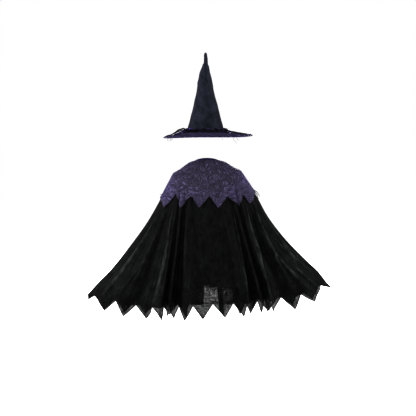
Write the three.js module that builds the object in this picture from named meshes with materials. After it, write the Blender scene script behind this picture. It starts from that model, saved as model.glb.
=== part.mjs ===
// A child's witch costume, as it hangs on its wearer with the arms held out: a pointed hat, a flared cape
// of dark gauze and a crushed-velvet capelet, both cut into points along the hem.
// Millimetres, +Z up. The origin is the middle of the neck opening. -Y is the back, the side that shows.
import * as THREE from "three";

// Cloth.
const GAUZE = 1.2; // wall of the cape
const VELVET = 1.4; // wall of the capelet
const SEAM_GAP = 0.4; // between two panels at a seam
const CAPELET_LIFT = 3; // from the middle of the cape's wall to the capelet's underside

// Neck and shoulders, of a child of about nine.
const NECK = { halfWidth: 60, halfDepth: 50, middle: -20, rise: 20 };
const SHOULDER = { leftWidth: 165, rightWidth: 164, height: -61, tilt: 7, drop: 60 };
const SHOULDER_ROUND = { atSide: 10, atMiddle: 50 };
const YOKE_BULGE = 13;

// Half depths of the cape's section at the shoulders and the hem, and the roundness of its side folds.
const DEPTH = { backTop: 100, backHem: 190, frontTop: 92, frontHem: 150, sideFold: 22 };
const SECTION = { powerTop: 2.3, powerHem: 1.7, rootTop: 0.45, rootHem: 0.95 };
const FRONT_EDGE = { power: 1, span: 2.5 }; // how the two front edges part, and for how many points
const FOLD_GROWTH = 1.25; // how folds deepen from the shoulders to the hem

// Points along the hem. A point's tip is at a whole number of h and the notches lie half way between.
const POINT_LENGTH = 72;
const LEFT_FRONT_EDGE = -7;
const LEFT_FOLD = 0;
const RIGHT_FOLD = 17;
const RIGHT_FRONT_EDGE = 24;

// How far out the cloth has run at a share v of the way down, at the two side folds and in the middle.
const OUTWARD = [
  { v: 0, left: 0, right: 0, middle: 0 },
  { v: 0.2, left: 0.147, right: 0.168, middle: 0.24 },
  { v: 0.4, left: 0.307, right: 0.311, middle: 0.46 },
  { v: 0.6, left: 0.51, right: 0.51, middle: 0.66 },
  { v: 0.8, left: 0.737, right: 0.762, middle: 0.84 },
  { v: 0.9, left: 0.875, right: 0.9, middle: 0.92 },
  { v: 1, left: 1, right: 1, middle: 1 },
];

// Once round the hem, from the left front edge over the back to the right front edge: shoulder is x at the
// shoulders, hem and z are the notch line at the hem, lean is how far a point swings outwards for each
// millimetre it hangs, and reach is its share of POINT_LENGTH.
const STATIONS = [
  { h: -7, shoulder: -3, hem: -20, z: -757, lean: 0, reach: 0.04 },
  { h: -6, shoulder: -48, hem: -70, z: -757, lean: 0, reach: 0.04 },
  { h: -5, shoulder: -84, hem: -114, z: -754, lean: 0.08, reach: 0.95 },
  { h: -4, shoulder: -112, hem: -196, z: -744, lean: -0.02, reach: 1 },
  { h: -3, shoulder: -134, hem: -312, z: -728, lean: -0.1, reach: 0.95 },
  { h: -2, shoulder: -150, hem: -418, z: -720, lean: -0.14, reach: 0.95 },
  { h: -1, shoulder: -160, hem: -515, z: -700, lean: -0.16, reach: 0.9 },
  { h: 0, shoulder: -165, hem: -601, z: -676, lean: 0.05, reach: 0.45 },
  { h: 1, shoulder: -160, hem: -498, z: -679, lean: -0.16, reach: 0.91 },
  { h: 2, shoulder: -152, hem: -399, z: -700, lean: -0.17, reach: 0.88 },
  { h: 3, shoulder: -142, hem: -300, z: -711, lean: 0.07, reach: 0.85 },
  { h: 4, shoulder: -130, hem: -225, z: -703, lean: 0.12, reach: 0.93 },
  { h: 5, shoulder: -116, hem: -196, z: -692, lean: 0.06, reach: 0.9 },
  { h: 6, shoulder: -101, hem: -160, z: -702, lean: -0.04, reach: 0.93 },
  { h: 7, shoulder: -82, hem: -105, z: -698, lean: -0.02, reach: 0.9 },
  { h: 8, shoulder: -52, hem: -22, z: -692, lean: 0.04, reach: 0.98 },
  { h: 9, shoulder: -4, hem: 79, z: -682, lean: 0.12, reach: 0.97 },
  { h: 10, shoulder: 46, hem: 166, z: -684, lean: 0.2, reach: 0.93 },
  { h: 11, shoulder: 78, hem: 219, z: -678, lean: -0.05, reach: 0.9 },
  { h: 12, shoulder: 101, hem: 261, z: -668, lean: 0.05, reach: 0.85 },
  { h: 13, shoulder: 120, hem: 296, z: -675, lean: 0.04, reach: 0.88 },
  { h: 14, shoulder: 136, hem: 327, z: -672, lean: -0.04, reach: 0.88 },
  { h: 15, shoulder: 148, hem: 415, z: -669, lean: 0.32, reach: 0.92 },
  { h: 16, shoulder: 158, hem: 508, z: -639, lean: 0.41, reach: 0.9 },
  { h: 17, shoulder: 164, hem: 603, z: -615, lean: 1.05, reach: 0.66 },
  { h: 18, shoulder: 160, hem: 514, z: -650, lean: 0.42, reach: 0.88 },
  { h: 19, shoulder: 150, hem: 424, z: -684, lean: 0.25, reach: 0.9 },
  { h: 20, shoulder: 134, hem: 312, z: -712, lean: 0.12, reach: 0.95 },
  { h: 21, shoulder: 112, hem: 232, z: -734, lean: 0, reach: 0.95 },
  { h: 22, shoulder: 84, hem: 168, z: -746, lean: 0.08, reach: 0.9 },
  { h: 23, shoulder: 48, hem: 118, z: -752, lean: 0, reach: 0.04 },
  { h: 24, shoulder: 3, hem: 62, z: -756, lean: 0, reach: 0.04 },
];

// Folds, one row each: h is its crest at the hem, half its half width in points, depth how far it stands
// out from the cloth beside it. A row with a negative depth is a valley.
const FOLDS = [
  { h: -6.4, half: 0.6, depth: -16 },
  { h: -5.6, half: 0.8, depth: 26 },
  { h: -4.8, half: 0.8, depth: -30 },
  { h: -4, half: 0.8, depth: 34 },
  { h: -2.75, half: 1, depth: -14 },
  { h: -1.5, half: 1.2, depth: 18 },
  { h: 1.5, half: 1.2, depth: 20 },
  { h: 2.75, half: 1, depth: -16 },
  { h: 4, half: 0.75, depth: 42 },
  { h: 4.75, half: 0.75, depth: -36 },
  { h: 5.5, half: 0.75, depth: 36 },
  { h: 6.25, half: 0.75, depth: -38 },
  { h: 7, half: 0.75, depth: 32 },
  { h: 8, half: 0.9, depth: -10 },
  { h: 9.25, half: 1, depth: 8 },
  { h: 10.5, half: 0.75, depth: 30 },
  { h: 11.25, half: 0.75, depth: -34 },
  { h: 12, half: 0.75, depth: 34 },
  { h: 12.75, half: 0.75, depth: -36 },
  { h: 13.5, half: 0.75, depth: 36 },
  { h: 14.5, half: 0.9, depth: -24 },
  { h: 15.75, half: 1, depth: 24 },
  { h: 18.5, half: 1.2, depth: 18 },
  { h: 19.75, half: 1, depth: -16 },
  { h: 20.75, half: 0.8, depth: 32 },
  { h: 21.5, half: 0.8, depth: -28 },
  { h: 22.25, half: 0.8, depth: 26 },
  { h: 23.1, half: 0.8, depth: -16 },
];

// The five panels of the cape, and the three of the capelet. Seams are at the side folds and under folds.
const CAPE_PANELS = [
  { name: "cape_front_left", from: LEFT_FRONT_EDGE, to: LEFT_FOLD, colour: 0x111314 },
  { name: "cape_side_left", from: LEFT_FOLD, to: 7.5, colour: 0x131516 },
  { name: "cape_back", from: 7.5, to: 10.5, colour: 0x101112 },
  { name: "cape_side_right", from: 10.5, to: RIGHT_FOLD, colour: 0x121415 },
  { name: "cape_front_right", from: RIGHT_FOLD, to: RIGHT_FRONT_EDGE, colour: 0x111314 },
];
const CAPELET_PANELS = [
  { name: "capelet_front_left", from: LEFT_FRONT_EDGE, to: LEFT_FOLD },
  { name: "capelet_back", from: LEFT_FOLD, to: RIGHT_FOLD },
  { name: "capelet_front_right", from: RIGHT_FOLD, to: RIGHT_FRONT_EDGE },
];
// The capelet's hem, notch and point in turn.
const CAPELET_HEM = [
  { h: -7, z: -196 },
  { h: -6.2, z: -232 },
  { h: -5.4, z: -178 },
  { h: -4.6, z: -236 },
  { h: -3.8, z: -180 },
  { h: -2.9, z: -234 },
  { h: -2, z: -180 },
  { h: -1.1, z: -230 },
  { h: 0, z: -182 },
  { h: 1.76, z: -232 },
  { h: 3.48, z: -164 },
  { h: 5.38, z: -228 },
  { h: 7.1, z: -176 },
  { h: 7.45, z: -176 },
  { h: 8.14, z: -228 },
  { h: 9.14, z: -170 },
  { h: 9.62, z: -228 },
  { h: 10.85, z: -177 },
  { h: 11.1, z: -177 },
  { h: 12.86, z: -222 },
  { h: 14.4, z: -167 },
  { h: 15.12, z: -212 },
  { h: 15.9, z: -197 },
  { h: 17, z: -150 },
  { h: 18.1, z: -214 },
  { h: 19, z: -172 },
  { h: 19.9, z: -230 },
  { h: 20.8, z: -178 },
  { h: 21.6, z: -234 },
  { h: 22.4, z: -180 },
  { h: 23.2, z: -232 },
  { h: 24, z: -196 },
];
const CAPELET_ROWS = { yoke: [0.02, 0.32, 0.64, 0.86, 1], skirt: [0.22, 0.5, 0.76, 1] };
const CAPELET_STEP = 0.45; // most that two of its columns are apart

// The right front edge is faced with a strip: its width in points, its gap to the panel and its free end.
const FACING = { width: 0.5, lift: 0.5, tail: 64 };

// Rows of the grid: down the yoke from the neck, then down the skirt from the shoulders to the notch line.
const YOKE_ROWS = [0, 0.4, 0.75];
const SKIRT_ROWS = [0.07, 0.16, 0.26, 0.38, 0.5, 0.62, 0.73, 0.83, 0.92, 1];
const COLUMNS_PER_POINT = 4;
const POINT_ROWS = 2;

// The hat.
const HAT = { x: -3, y: 0, headRadius: 92, brimRadius: 218, brimThickness: 3, crownThickness: 2.2 };
const BRIM = { innerHeight: 139, shift: 8, droop: 22, gap: 0.6, stops: 48 };
const BRIM_WAVE = { leftLow: 3, rightHigh: 6, backLow: 4, ripple: 2.5, rippleTurn: 0.6 };
// The crown, from its base to its pinched tip: height, radius and how far its middle is off the hat's axis.
const CROWN = [
  { z: 137, radius: 92, off: 0 },
  { z: 153, radius: 89.6, off: -3 },
  { z: 168, radius: 86, off: -4 },
  { z: 197, radius: 77.5, off: -4 },
  { z: 224, radius: 71.5, off: -4 },
  { z: 250, radius: 65, off: -4 },
  { z: 286, radius: 56.5, off: -4.5 },
  { z: 323, radius: 47.5, off: -5 },
  { z: 350, radius: 42, off: -5 },
  { z: 374, radius: 38, off: -5.5 },
  { z: 385, radius: 35.8, off: -6 },
  { z: 404, radius: 31.5, off: -7 },
  { z: 424, radius: 27, off: -7 },
  { z: 444, radius: 22.5, off: -5.5 },
  { z: 464, radius: 16, off: -5 },
  { z: 471, radius: 13.6, off: -5.5 },
  { z: 478, radius: 10.4, off: -3 },
  { z: 502, radius: 8.4, off: -3 },
  { z: 518, radius: 7, off: -4 },
  { z: 526, radius: 4.6, off: -4 },
];
const CROWN_TIP = 530;
const CROWN_HOLLOW_TOP = 462;
const CROWN_SIDES = 32;
// Soft dents of the crown: height, direction in degrees from +X, size up the crown and depth.
const CROWN_DENTS = [
  { z: 380, toward: 180, tall: 12, depth: -1.5 },
  { z: 330, toward: -20, tall: 40, depth: 2.5 },
  { z: 250, toward: -115, tall: 46, depth: 3 },
  { z: 215, toward: 70, tall: 40, depth: 3 },
  { z: 300, toward: 140, tall: 50, depth: 2.5 },
];

const BINDING = { height: 9, width: 7, lift: 5.6, sides: 6, stops: 40 };
const TAB = { halfWidth: 17, halfHeight: 4.4, corner: 3, thickness: 2 };
const BRIM_BINDING = { height: 6, width: 4, sides: 6 };
const BAND = { lift: 9.6, height: 151, strand: 4.2, twist: 4.6, turns: 9, stops: 72, sides: 5 };

// Curves through tables.

// Slopes of a curve through the points that never overshoots between two of them.
function gentleSlopes(at, value) {
  const last = at.length - 1;
  const step = at.slice(1).map((a, i) => a - at[i]);
  const rise = step.map((s, i) => (value[i + 1] - value[i]) / s);
  return at.map((_, i) => {
    if (i === 0) return rise[0];
    if (i === last) return rise[last - 1];
    if (rise[i - 1] * rise[i] <= 0) return 0;
    const before = 2 * step[i] + step[i - 1];
    const after = step[i] + 2 * step[i - 1];
    return (before + after) / (before / rise[i - 1] + after / rise[i]);
  });
}

// A function that reads one column of a table, smoothly, at any place along another.
function column(rows, along, name) {
  const at = rows.map((row) => row[along]);
  const value = rows.map((row) => row[name]);
  const slope = gentleSlopes(at, value);
  return (where) => {
    const inside = Math.min(Math.max(where, at[0]), at[at.length - 1]);
    let i = 0;
    while (i < at.length - 2 && inside > at[i + 1]) i += 1;
    const step = at[i + 1] - at[i];
    const t = (inside - at[i]) / step;
    const rest = 1 - t;
    return (
      value[i] * (1 + 2 * t) * rest * rest +
      slope[i] * step * t * rest * rest +
      value[i + 1] * t * t * (3 - 2 * t) -
      slope[i + 1] * step * t * t * rest
    );
  };
}

const shoulderX = column(STATIONS, "h", "shoulder");
const hemX = column(STATIONS, "h", "hem");
const hemZ = column(STATIONS, "h", "z");
const lean = column(STATIONS, "h", "lean");
const reach = column(STATIONS, "h", "reach");
const outwardLeft = column(OUTWARD, "v", "left");
const outwardRight = column(OUTWARD, "v", "right");
const outwardMiddle = column(OUTWARD, "v", "middle");

const mix = (a, b, t) => a + (b - a) * t;
const clamp01 = (t) => Math.min(Math.max(t, 0), 1);
const smooth = (t) => clamp01(t) ** 2 * (3 - 2 * clamp01(t));
const isBack = (h) => h >= LEFT_FOLD && h <= RIGHT_FOLD;

// The cape's surface: h goes round it, and s down it, 0 at the neck, 1 at the shoulders, 2 at the notches.

function shoulderShare(h) {
  const x = shoulderX(h);
  return x / (x < 0 ? SHOULDER.leftWidth : SHOULDER.rightWidth);
}

function neckPoint(h) {
  const share = shoulderShare(h);
  const round = Math.sqrt(Math.max(0, 1 - share * share));
  const side = isBack(h) ? 1 : -1;
  return new THREE.Vector3(
    NECK.halfWidth * share,
    -side * NECK.halfDepth * round,
    NECK.middle + side * NECK.rise * round,
  );
}

// The outward run of the cloth: quicker towards the hem at the side folds, and even at the front edges.
function outward(h, v) {
  const share = shoulderShare(h);
  const body = mix(outwardMiddle(v), share < 0 ? outwardLeft(v) : outwardRight(v), share * share);
  const toEdge = Math.min(h - LEFT_FRONT_EDGE, RIGHT_FRONT_EDGE - h);
  return mix(v ** FRONT_EDGE.power, body, smooth(toEdge / FRONT_EDGE.span));
}

const skirtX = (h, v) => mix(shoulderX(h), hemX(h), outward(h, v));

// Depth of the section at a share of its half width: full at the middle, and round at the side folds.
function sectionDepth(share, v, back) {
  const full = back
    ? mix(DEPTH.backTop, DEPTH.backHem, v)
    : mix(DEPTH.frontTop, DEPTH.frontHem, v);
  const inside = Math.min(Math.abs(share), 1);
  const power = mix(SECTION.powerTop, SECTION.powerHem, v);
  const root = mix(SECTION.rootTop, SECTION.rootHem, v);
  return full * (1 - inside ** power) ** root + DEPTH.sideFold * Math.sqrt(1 - inside ** 2);
}

function foldDepth(h, v) {
  let total = 0;
  for (const fold of FOLDS) {
    const away = Math.abs(h - fold.h) / fold.half;
    if (away < 1) total += fold.depth * Math.cos((away * Math.PI) / 2) ** 2;
  }
  return total * clamp01(v) ** FOLD_GROWTH;
}

function skirtPoint(h, v) {
  const x = skirtX(h, v);
  const halfWidth = x < 0 ? -skirtX(LEFT_FOLD, v) : skirtX(RIGHT_FOLD, v);
  const outwards = isBack(h) ? -1 : 1;
  const shoulderZ = shoulderPointZ(h);
  const y = outwards * (sectionDepth(x / halfWidth, v, isBack(h)) + foldDepth(h, v));
  return new THREE.Vector3(x, y, mix(shoulderZ, hemZ(h), v));
}

function shoulderPointZ(h) {
  const share = shoulderShare(h);
  return SHOULDER.height + SHOULDER.tilt * share - SHOULDER.drop * (1 - share * share);
}

// The yoke stands up a little between the neck and the shoulders, most of all near the neck.
function yokePoint(neck, corner, s) {
  const point = neck.clone().lerp(corner, s);
  point.z += YOKE_BULGE * 9.48 * s * (1 - s) ** 3;
  return point;
}

// A point of the cape above the notch line. The shoulder is a rounded corner between yoke and skirt.
function clothPoint(h, s) {
  const neck = neckPoint(h);
  const corner = skirtPoint(h, 0);
  const share = shoulderShare(h);
  const round = mix(SHOULDER_ROUND.atMiddle, SHOULDER_ROUND.atSide, share * share);
  const above = round / corner.distanceTo(neck);
  const below = round / (corner.z - hemZ(h));
  if (s <= 1 - above) return yokePoint(neck, corner, s);
  if (s >= 1 + below) return skirtPoint(h, s - 1);
  const t = (s - 1 + above) / (above + below);
  const start = yokePoint(neck, corner, 1 - above);
  const end = skirtPoint(h, below);
  return start
    .multiplyScalar((1 - t) ** 2)
    .addScaledVector(corner, 2 * t * (1 - t))
    .addScaledVector(end, t * t);
}

// A point that hangs some millimetres below the notch line, as the cut points of the hem do.
function hangingPoint(h, s, down) {
  const point = clothPoint(h, s);
  const swing = lean(h);
  const length = Math.hypot(1, swing);
  point.x += (down * swing) / length;
  point.z -= down / length;
  return point;
}

const NUDGE = 0.02; // step in h or s by which a direction on the cloth is found

// The direction along the cloth, round the cape.
function acrossCloth(h, s, down) {
  return hangingPoint(h + NUDGE, s, down).sub(hangingPoint(h - NUDGE, s, down)).normalize();
}

// The direction that the cloth faces, away from the wearer.
function facingAway(h, s, down) {
  const along = down > 0
    ? hangingPoint(h, s, down).sub(clothPoint(h, s))
    : clothPoint(h, Math.min(s + NUDGE, 2)).sub(clothPoint(h, Math.max(s - NUDGE, 0)));
  return along.cross(acrossCloth(h, s, down)).normalize();
}

// Walls.

// Turns a solid's points and triangles into a mesh, with its faces outwards.
function solidMesh(name, points, triangles, material) {
  let volume = 0;
  for (const [a, b, c] of triangles) {
    volume += points[a].dot(points[b].clone().cross(points[c]));
  }
  const facingOut = volume > 0 ? triangles : triangles.map(([a, b, c]) => [a, c, b]);
  const geometry = new THREE.BufferGeometry();
  geometry.setAttribute(
    "position",
    new THREE.Float32BufferAttribute(points.flatMap((p) => p.toArray()), 3),
  );
  geometry.setIndex(facingOut.flat());
  geometry.computeVertexNormals();
  const mesh = new THREE.Mesh(geometry, material);
  mesh.name = name;
  return mesh;
}

// A sheet with a thickness. outer and inner hold columns of points from top to bottom. A column may be
// shorter than its neighbour at a notch, and its last point then stands for all that is missing.
function sheetSolid(name, outer, inner, material) {
  const points = [];
  const start = [];
  for (const column of outer) {
    start.push(points.length);
    points.push(...column);
  }
  const half = points.length;
  for (const column of inner) points.push(...column);
  const rows = Math.max(...outer.map((column) => column.length));
  const at = (i, j) => start[i] + Math.min(j, outer[i].length - 1);
  const triangles = [];
  const add = (a, b, c) => {
    if (a !== b && b !== c && a !== c) triangles.push([a, b, c]);
  };
  const quad = (a, b, c, d) => {
    add(a, b, c);
    add(a, c, d);
  };
  const last = outer.length - 1;
  for (let i = 0; i < last; i += 1) {
    for (let j = 0; j < rows - 1; j += 1) {
      const corners = [at(i, j), at(i + 1, j), at(i + 1, j + 1), at(i, j + 1)];
      quad(...corners);
      quad(...corners.map((index) => index + half).reverse());
    }
    rim(at(i, 0), at(i + 1, 0));
    rim(at(i + 1, rows - 1), at(i, rows - 1));
  }
  for (let j = 0; j < rows - 1; j += 1) {
    rim(at(0, j + 1), at(0, j));
    rim(at(last, j), at(last, j + 1));
  }
  // Closes the wall's edge between two neighbouring points of its rim.
  function rim(a, b) {
    if (a !== b) quad(b, a, a + half, b + half);
  }
  return solidMesh(name, points, triangles, material);
}

// A solid swept along a closed loop or an open path, with section(place) the ring of points at each stop.
function tubeSolid(name, path, section, closed, material) {
  const points = path.flatMap((place) => section(place));
  const sides = points.length / path.length;
  const triangles = [];
  const spans = closed ? path.length : path.length - 1;
  for (let i = 0; i < spans; i += 1) {
    const next = (i + 1) % path.length;
    for (let j = 0; j < sides; j += 1) {
      const k = (j + 1) % sides;
      const [a, b] = [i * sides + j, i * sides + k];
      const [c, d] = [next * sides + k, next * sides + j];
      triangles.push([a, b, c], [a, c, d]);
    }
  }
  if (!closed) {
    const far = (path.length - 1) * sides;
    for (let j = 1; j < sides - 1; j += 1) {
      triangles.push([0, j + 1, j], [far, far + j, far + j + 1]);
    }
  }
  return solidMesh(name, points, triangles, material);
}

const cloth = (colour, roughness) =>
  new THREE.MeshStandardMaterial({ color: colour, roughness, metalness: 0, side: THREE.DoubleSide });

// Cape and capelet.

// The two faces of the wall at one place, moved along the way it faces, and shifted sideways at a seam.
function wallPoints(h, { s, down }, { inside, outside }, shift) {
  const place = hangingPoint(h, s, down);
  const out = facingAway(h, s, down);
  place.addScaledVector(acrossCloth(h, s, down), shift);
  return {
    outer: place.clone().addScaledVector(out, outside),
    inner: place.clone().addScaledVector(out, inside),
  };
}

// A panel between two seams. placesAt lists the places down a column, and wall its two faces' lifts.
function clothPanel({ name, from, to, columns, placesAt, wall, material }) {
  const inPanel = columns.filter((h) => h > from + 1e-6 && h < to - 1e-6);
  const pairs = [from, ...inPanel, to].map((h) => {
    const seam = h === from ? SEAM_GAP / 2 : h === to ? -SEAM_GAP / 2 : 0;
    return placesAt(h).map((place) => wallPoints(h, place, wall, seam));
  });
  const outer = pairs.map((column) => column.map((pair) => pair.outer));
  const inner = pairs.map((column) => column.map((pair) => pair.inner));
  return sheetSolid(name, outer, inner, material);
}

// Share of a point's length that hangs at h: 1 at its tip and 0 at its notches.
const towardTip = (h) => 1 - 2 * Math.abs(h - Math.round(h));

const CAPE_ROWS = [...YOKE_ROWS, 1, ...SKIRT_ROWS.map((v) => 1 + v)];

// The places down a column of the cape, and on down to where its hem hangs.
function capePlaces(down) {
  const places = CAPE_ROWS.map((s) => ({ s, down: 0 }));
  for (let k = 1; k <= POINT_ROWS && down > 1; k += 1) {
    places.push({ s: 2, down: (down * k) / POINT_ROWS });
  }
  return places;
}

function cape() {
  const count = (RIGHT_FRONT_EDGE - LEFT_FRONT_EDGE) * COLUMNS_PER_POINT;
  const columns = Array.from({ length: count + 1 }, (_, i) => LEFT_FRONT_EDGE + i / COLUMNS_PER_POINT);
  return CAPE_PANELS.map(({ name, from, to, colour }) =>
    clothPanel({
      name,
      from,
      to,
      columns,
      placesAt: (h) => capePlaces(POINT_LENGTH * reach(h) * towardTip(h)),
      wall: { inside: -GAUZE / 2, outside: GAUZE / 2 },
      material: cloth(colour, 0.9),
    }),
  );
}

// The strip sewn inside the right front edge, which hangs on past the hem.
function facing() {
  return clothPanel({
    name: "facing_right",
    from: RIGHT_FRONT_EDGE - FACING.width,
    to: RIGHT_FRONT_EDGE,
    columns: [RIGHT_FRONT_EDGE - FACING.width / 2],
    placesAt: () => capePlaces(FACING.tail),
    wall: { inside: -GAUZE * 1.5 - FACING.lift, outside: -GAUZE / 2 - FACING.lift },
    material: cloth(0x0e0f10, 0.9),
  });
}

// Where s is at a given height on the skirt.
const placeAtHeight = (h, z) => 1 + (z - shoulderPointZ(h)) / (hemZ(h) - shoulderPointZ(h));

// The capelet's hem runs straight from each notch to the next point.
function capeletHem(h) {
  const i = Math.max(1, CAPELET_HEM.findIndex((row) => h <= row.h + 1e-9));
  const [a, b] = [CAPELET_HEM[i - 1], CAPELET_HEM[i]];
  return mix(a.z, b.z, (h - a.h) / (b.h - a.h));
}

function capelet() {
  const columns = CAPELET_HEM.slice(1).flatMap((row, i) => {
    const before = CAPELET_HEM[i].h;
    const count = Math.ceil((row.h - before) / CAPELET_STEP);
    return Array.from({ length: count }, (_, k) => mix(before, row.h, (k + 1) / count));
  });
  const placesAt = (h) => {
    const bottom = placeAtHeight(h, capeletHem(h));
    const skirt = CAPELET_ROWS.skirt.map((t) => mix(1, bottom, t));
    return [...CAPELET_ROWS.yoke, ...skirt].map((s) => ({ s, down: 0 }));
  };
  return CAPELET_PANELS.map(({ name, from, to }) =>
    clothPanel({
      name,
      from,
      to,
      columns,
      placesAt,
      wall: { inside: CAPELET_LIFT, outside: CAPELET_LIFT + VELVET },
      material: cloth(0x463f63, 0.75),
    }),
  );
}

// A rolled binding along the neck edge, just above the cloth, and the plain tab that closes it in front.
function neckBinding() {
  const path = Array.from({ length: BINDING.stops + 1 }, (_, i) =>
    mix(LEFT_FRONT_EDGE, RIGHT_FRONT_EDGE, i / BINDING.stops),
  );
  const section = (h) => {
    const middle = neckPoint(h);
    const out = new THREE.Vector3(middle.x / NECK.halfWidth, middle.y / NECK.halfDepth, 0).normalize();
    middle.addScaledVector(out, CAPELET_LIFT / 2);
    middle.z += BINDING.height / 2 + BINDING.lift;
    return Array.from({ length: BINDING.sides }, (_, j) => {
      const turn = ((j + 0.5) / BINDING.sides) * 2 * Math.PI;
      const point = middle.clone().addScaledVector(out, (Math.cos(turn) * BINDING.width) / 2);
      point.z += (Math.sin(turn) * BINDING.height) / 2;
      return point;
    });
  };
  return tubeSolid("neck_binding", path, section, false, cloth(0x4b3d78, 0.5));
}

function neckTab() {
  const { halfWidth, halfHeight, corner, thickness } = TAB;
  const shape = new THREE.Shape();
  shape.moveTo(-halfWidth + corner, -halfHeight);
  shape.lineTo(halfWidth - corner, -halfHeight);
  shape.absarc(halfWidth - corner, -halfHeight + corner, corner, -Math.PI / 2, 0);
  shape.absarc(halfWidth - corner, halfHeight - corner, corner, 0, Math.PI / 2);
  shape.absarc(-halfWidth + corner, halfHeight - corner, corner, Math.PI / 2, Math.PI);
  shape.absarc(-halfWidth + corner, -halfHeight + corner, corner, Math.PI, 1.5 * Math.PI);
  const geometry = new THREE.ExtrudeGeometry(shape, {
    depth: thickness,
    bevelEnabled: false,
    curveSegments: 4,
  });
  const mesh = new THREE.Mesh(geometry, cloth(0x3e3466, 0.7));
  mesh.name = "neck_tab";
  mesh.rotation.x = Math.PI / 2;
  const front = neckPoint(LEFT_FRONT_EDGE);
  const away = CAPELET_LIFT / 2 + BINDING.width / 2 + thickness + SEAM_GAP;
  mesh.position.set(0, front.y + away, front.z + BINDING.height / 2 + BINDING.lift);
  return mesh;
}

// The hat.

const ringTurns = (count) => Array.from({ length: count }, (_, i) => (i / count) * 2 * Math.PI);
const crownRadius = column(CROWN, "z", "radius");
const crownOff = column(CROWN, "z", "off");

function crownPoint(turn, z, inset) {
  let dent = 0;
  for (const row of CROWN_DENTS) {
    const away = (z - row.z) / row.tall;
    const aside = Math.cos(turn - THREE.MathUtils.degToRad(row.toward));
    dent += row.depth * Math.exp(-away * away) * Math.max(0, aside) ** 3;
  }
  const radius = Math.max(crownRadius(z) - dent - inset, 0.5);
  return new THREE.Vector3(
    HAT.x + crownOff(z) + radius * Math.cos(turn),
    HAT.y + radius * Math.sin(turn),
    z,
  );
}

// The crown is a hollow cone with its point sewn shut, closed by a cap outside and one inside.
function crown() {
  const turns = ringTurns(CROWN_SIDES);
  const outerHeights = CROWN.map((row) => row.z);
  const innerHeights = outerHeights.filter((z) => z < CROWN_HOLLOW_TOP - 10);
  const points = [];
  const ringOf = (z, inset) => {
    points.push(...turns.map((turn) => crownPoint(turn, z, inset)));
    return points.length - CROWN_SIDES;
  };
  const outer = outerHeights.map((z) => ringOf(z, 0));
  const inner = innerHeights.map((z) => ringOf(z, HAT.crownThickness));
  const middleAt = (z) => new THREE.Vector3(HAT.x + crownOff(z), HAT.y, z);
  const top = points.push(middleAt(CROWN_TIP)) - 1;
  const under = points.push(middleAt(CROWN_HOLLOW_TOP)) - 1;
  const triangles = [];
  const join = (low, high) => {
    for (let i = 0; i < CROWN_SIDES; i += 1) {
      const next = (i + 1) % CROWN_SIDES;
      triangles.push([low + i, low + next, high + next], [low + i, high + next, high + i]);
    }
  };
  const cap = (ring, point) => {
    for (let i = 0; i < CROWN_SIDES; i += 1) {
      triangles.push([ring + i, ring + ((i + 1) % CROWN_SIDES), point]);
    }
  };
  outer.slice(1).forEach((ring, i) => join(outer[i], ring));
  cap(outer.at(-1), top);
  const inwards = triangles.length;
  inner.slice(1).forEach((ring, i) => join(inner[i], ring));
  cap(inner.at(-1), under);
  for (let i = inwards; i < triangles.length; i += 1) triangles[i].reverse();
  join(inner[0], outer[0]);
  return solidMesh("hat_crown", points, triangles, cloth(0x23262f, 0.85));
}

// Share of the way across the brim, 0 at the head opening and 1 at the edge.
const acrossBrim = (distance) =>
  clamp01((distance - HAT.headRadius) / (HAT.brimRadius - HAT.headRadius));

// Height of the brim's middle layer at a direction and a distance from the hat's axis.
function brimHeight(turn, distance) {
  const share = acrossBrim(distance);
  const side = Math.cos(turn) > 0 ? BRIM_WAVE.rightHigh : BRIM_WAVE.leftLow;
  const tilt = side * Math.cos(turn) + BRIM_WAVE.backLow * Math.sin(turn);
  const ripple = BRIM_WAVE.ripple * Math.sin(3 * turn + BRIM_WAVE.rippleTurn);
  return BRIM.innerHeight - BRIM.droop * share ** 0.9 + (tilt + ripple) * share ** 1.5;
}

function brimPoint(turn, distance, lift) {
  return new THREE.Vector3(
    HAT.x + distance * Math.cos(turn) + BRIM.shift * acrossBrim(distance),
    HAT.y + distance * Math.sin(turn),
    brimHeight(turn, distance) + lift,
  );
}

// The brim is a stiffened ring round the head opening, as a loop of ring-shaped layers.
function brim() {
  const turns = ringTurns(BRIM.stops);
  const inner = HAT.headRadius + BRIM.gap;
  const distances = [0, 0.25, 0.5, 0.75, 1].map((t) => mix(inner, HAT.brimRadius, t));
  const half = HAT.brimThickness / 2;
  const section = (turn) => [
    ...distances.map((distance) => brimPoint(turn, distance, half)),
    ...distances.slice().reverse().map((distance) => brimPoint(turn, distance, -half)),
  ];
  return tubeSolid("hat_brim", turns, section, true, cloth(0x1c1d26, 0.9));
}

function brimBinding() {
  const turns = ringTurns(BRIM.stops);
  const section = (turn) =>
    Array.from({ length: BRIM_BINDING.sides }, (_, j) => {
      const round = (j / BRIM_BINDING.sides) * 2 * Math.PI;
      const distance = HAT.brimRadius + BRIM_BINDING.width / 2 + 0.3;
      const point = brimPoint(turn, distance + (Math.cos(round) * BRIM_BINDING.width) / 2, 0);
      point.z = brimHeight(turn, HAT.brimRadius) + (Math.sin(round) * BRIM_BINDING.height) / 2;
      return point;
    });
  return tubeSolid("hat_brim_binding", turns, section, true, cloth(0x3a2a66, 0.6));
}

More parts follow.
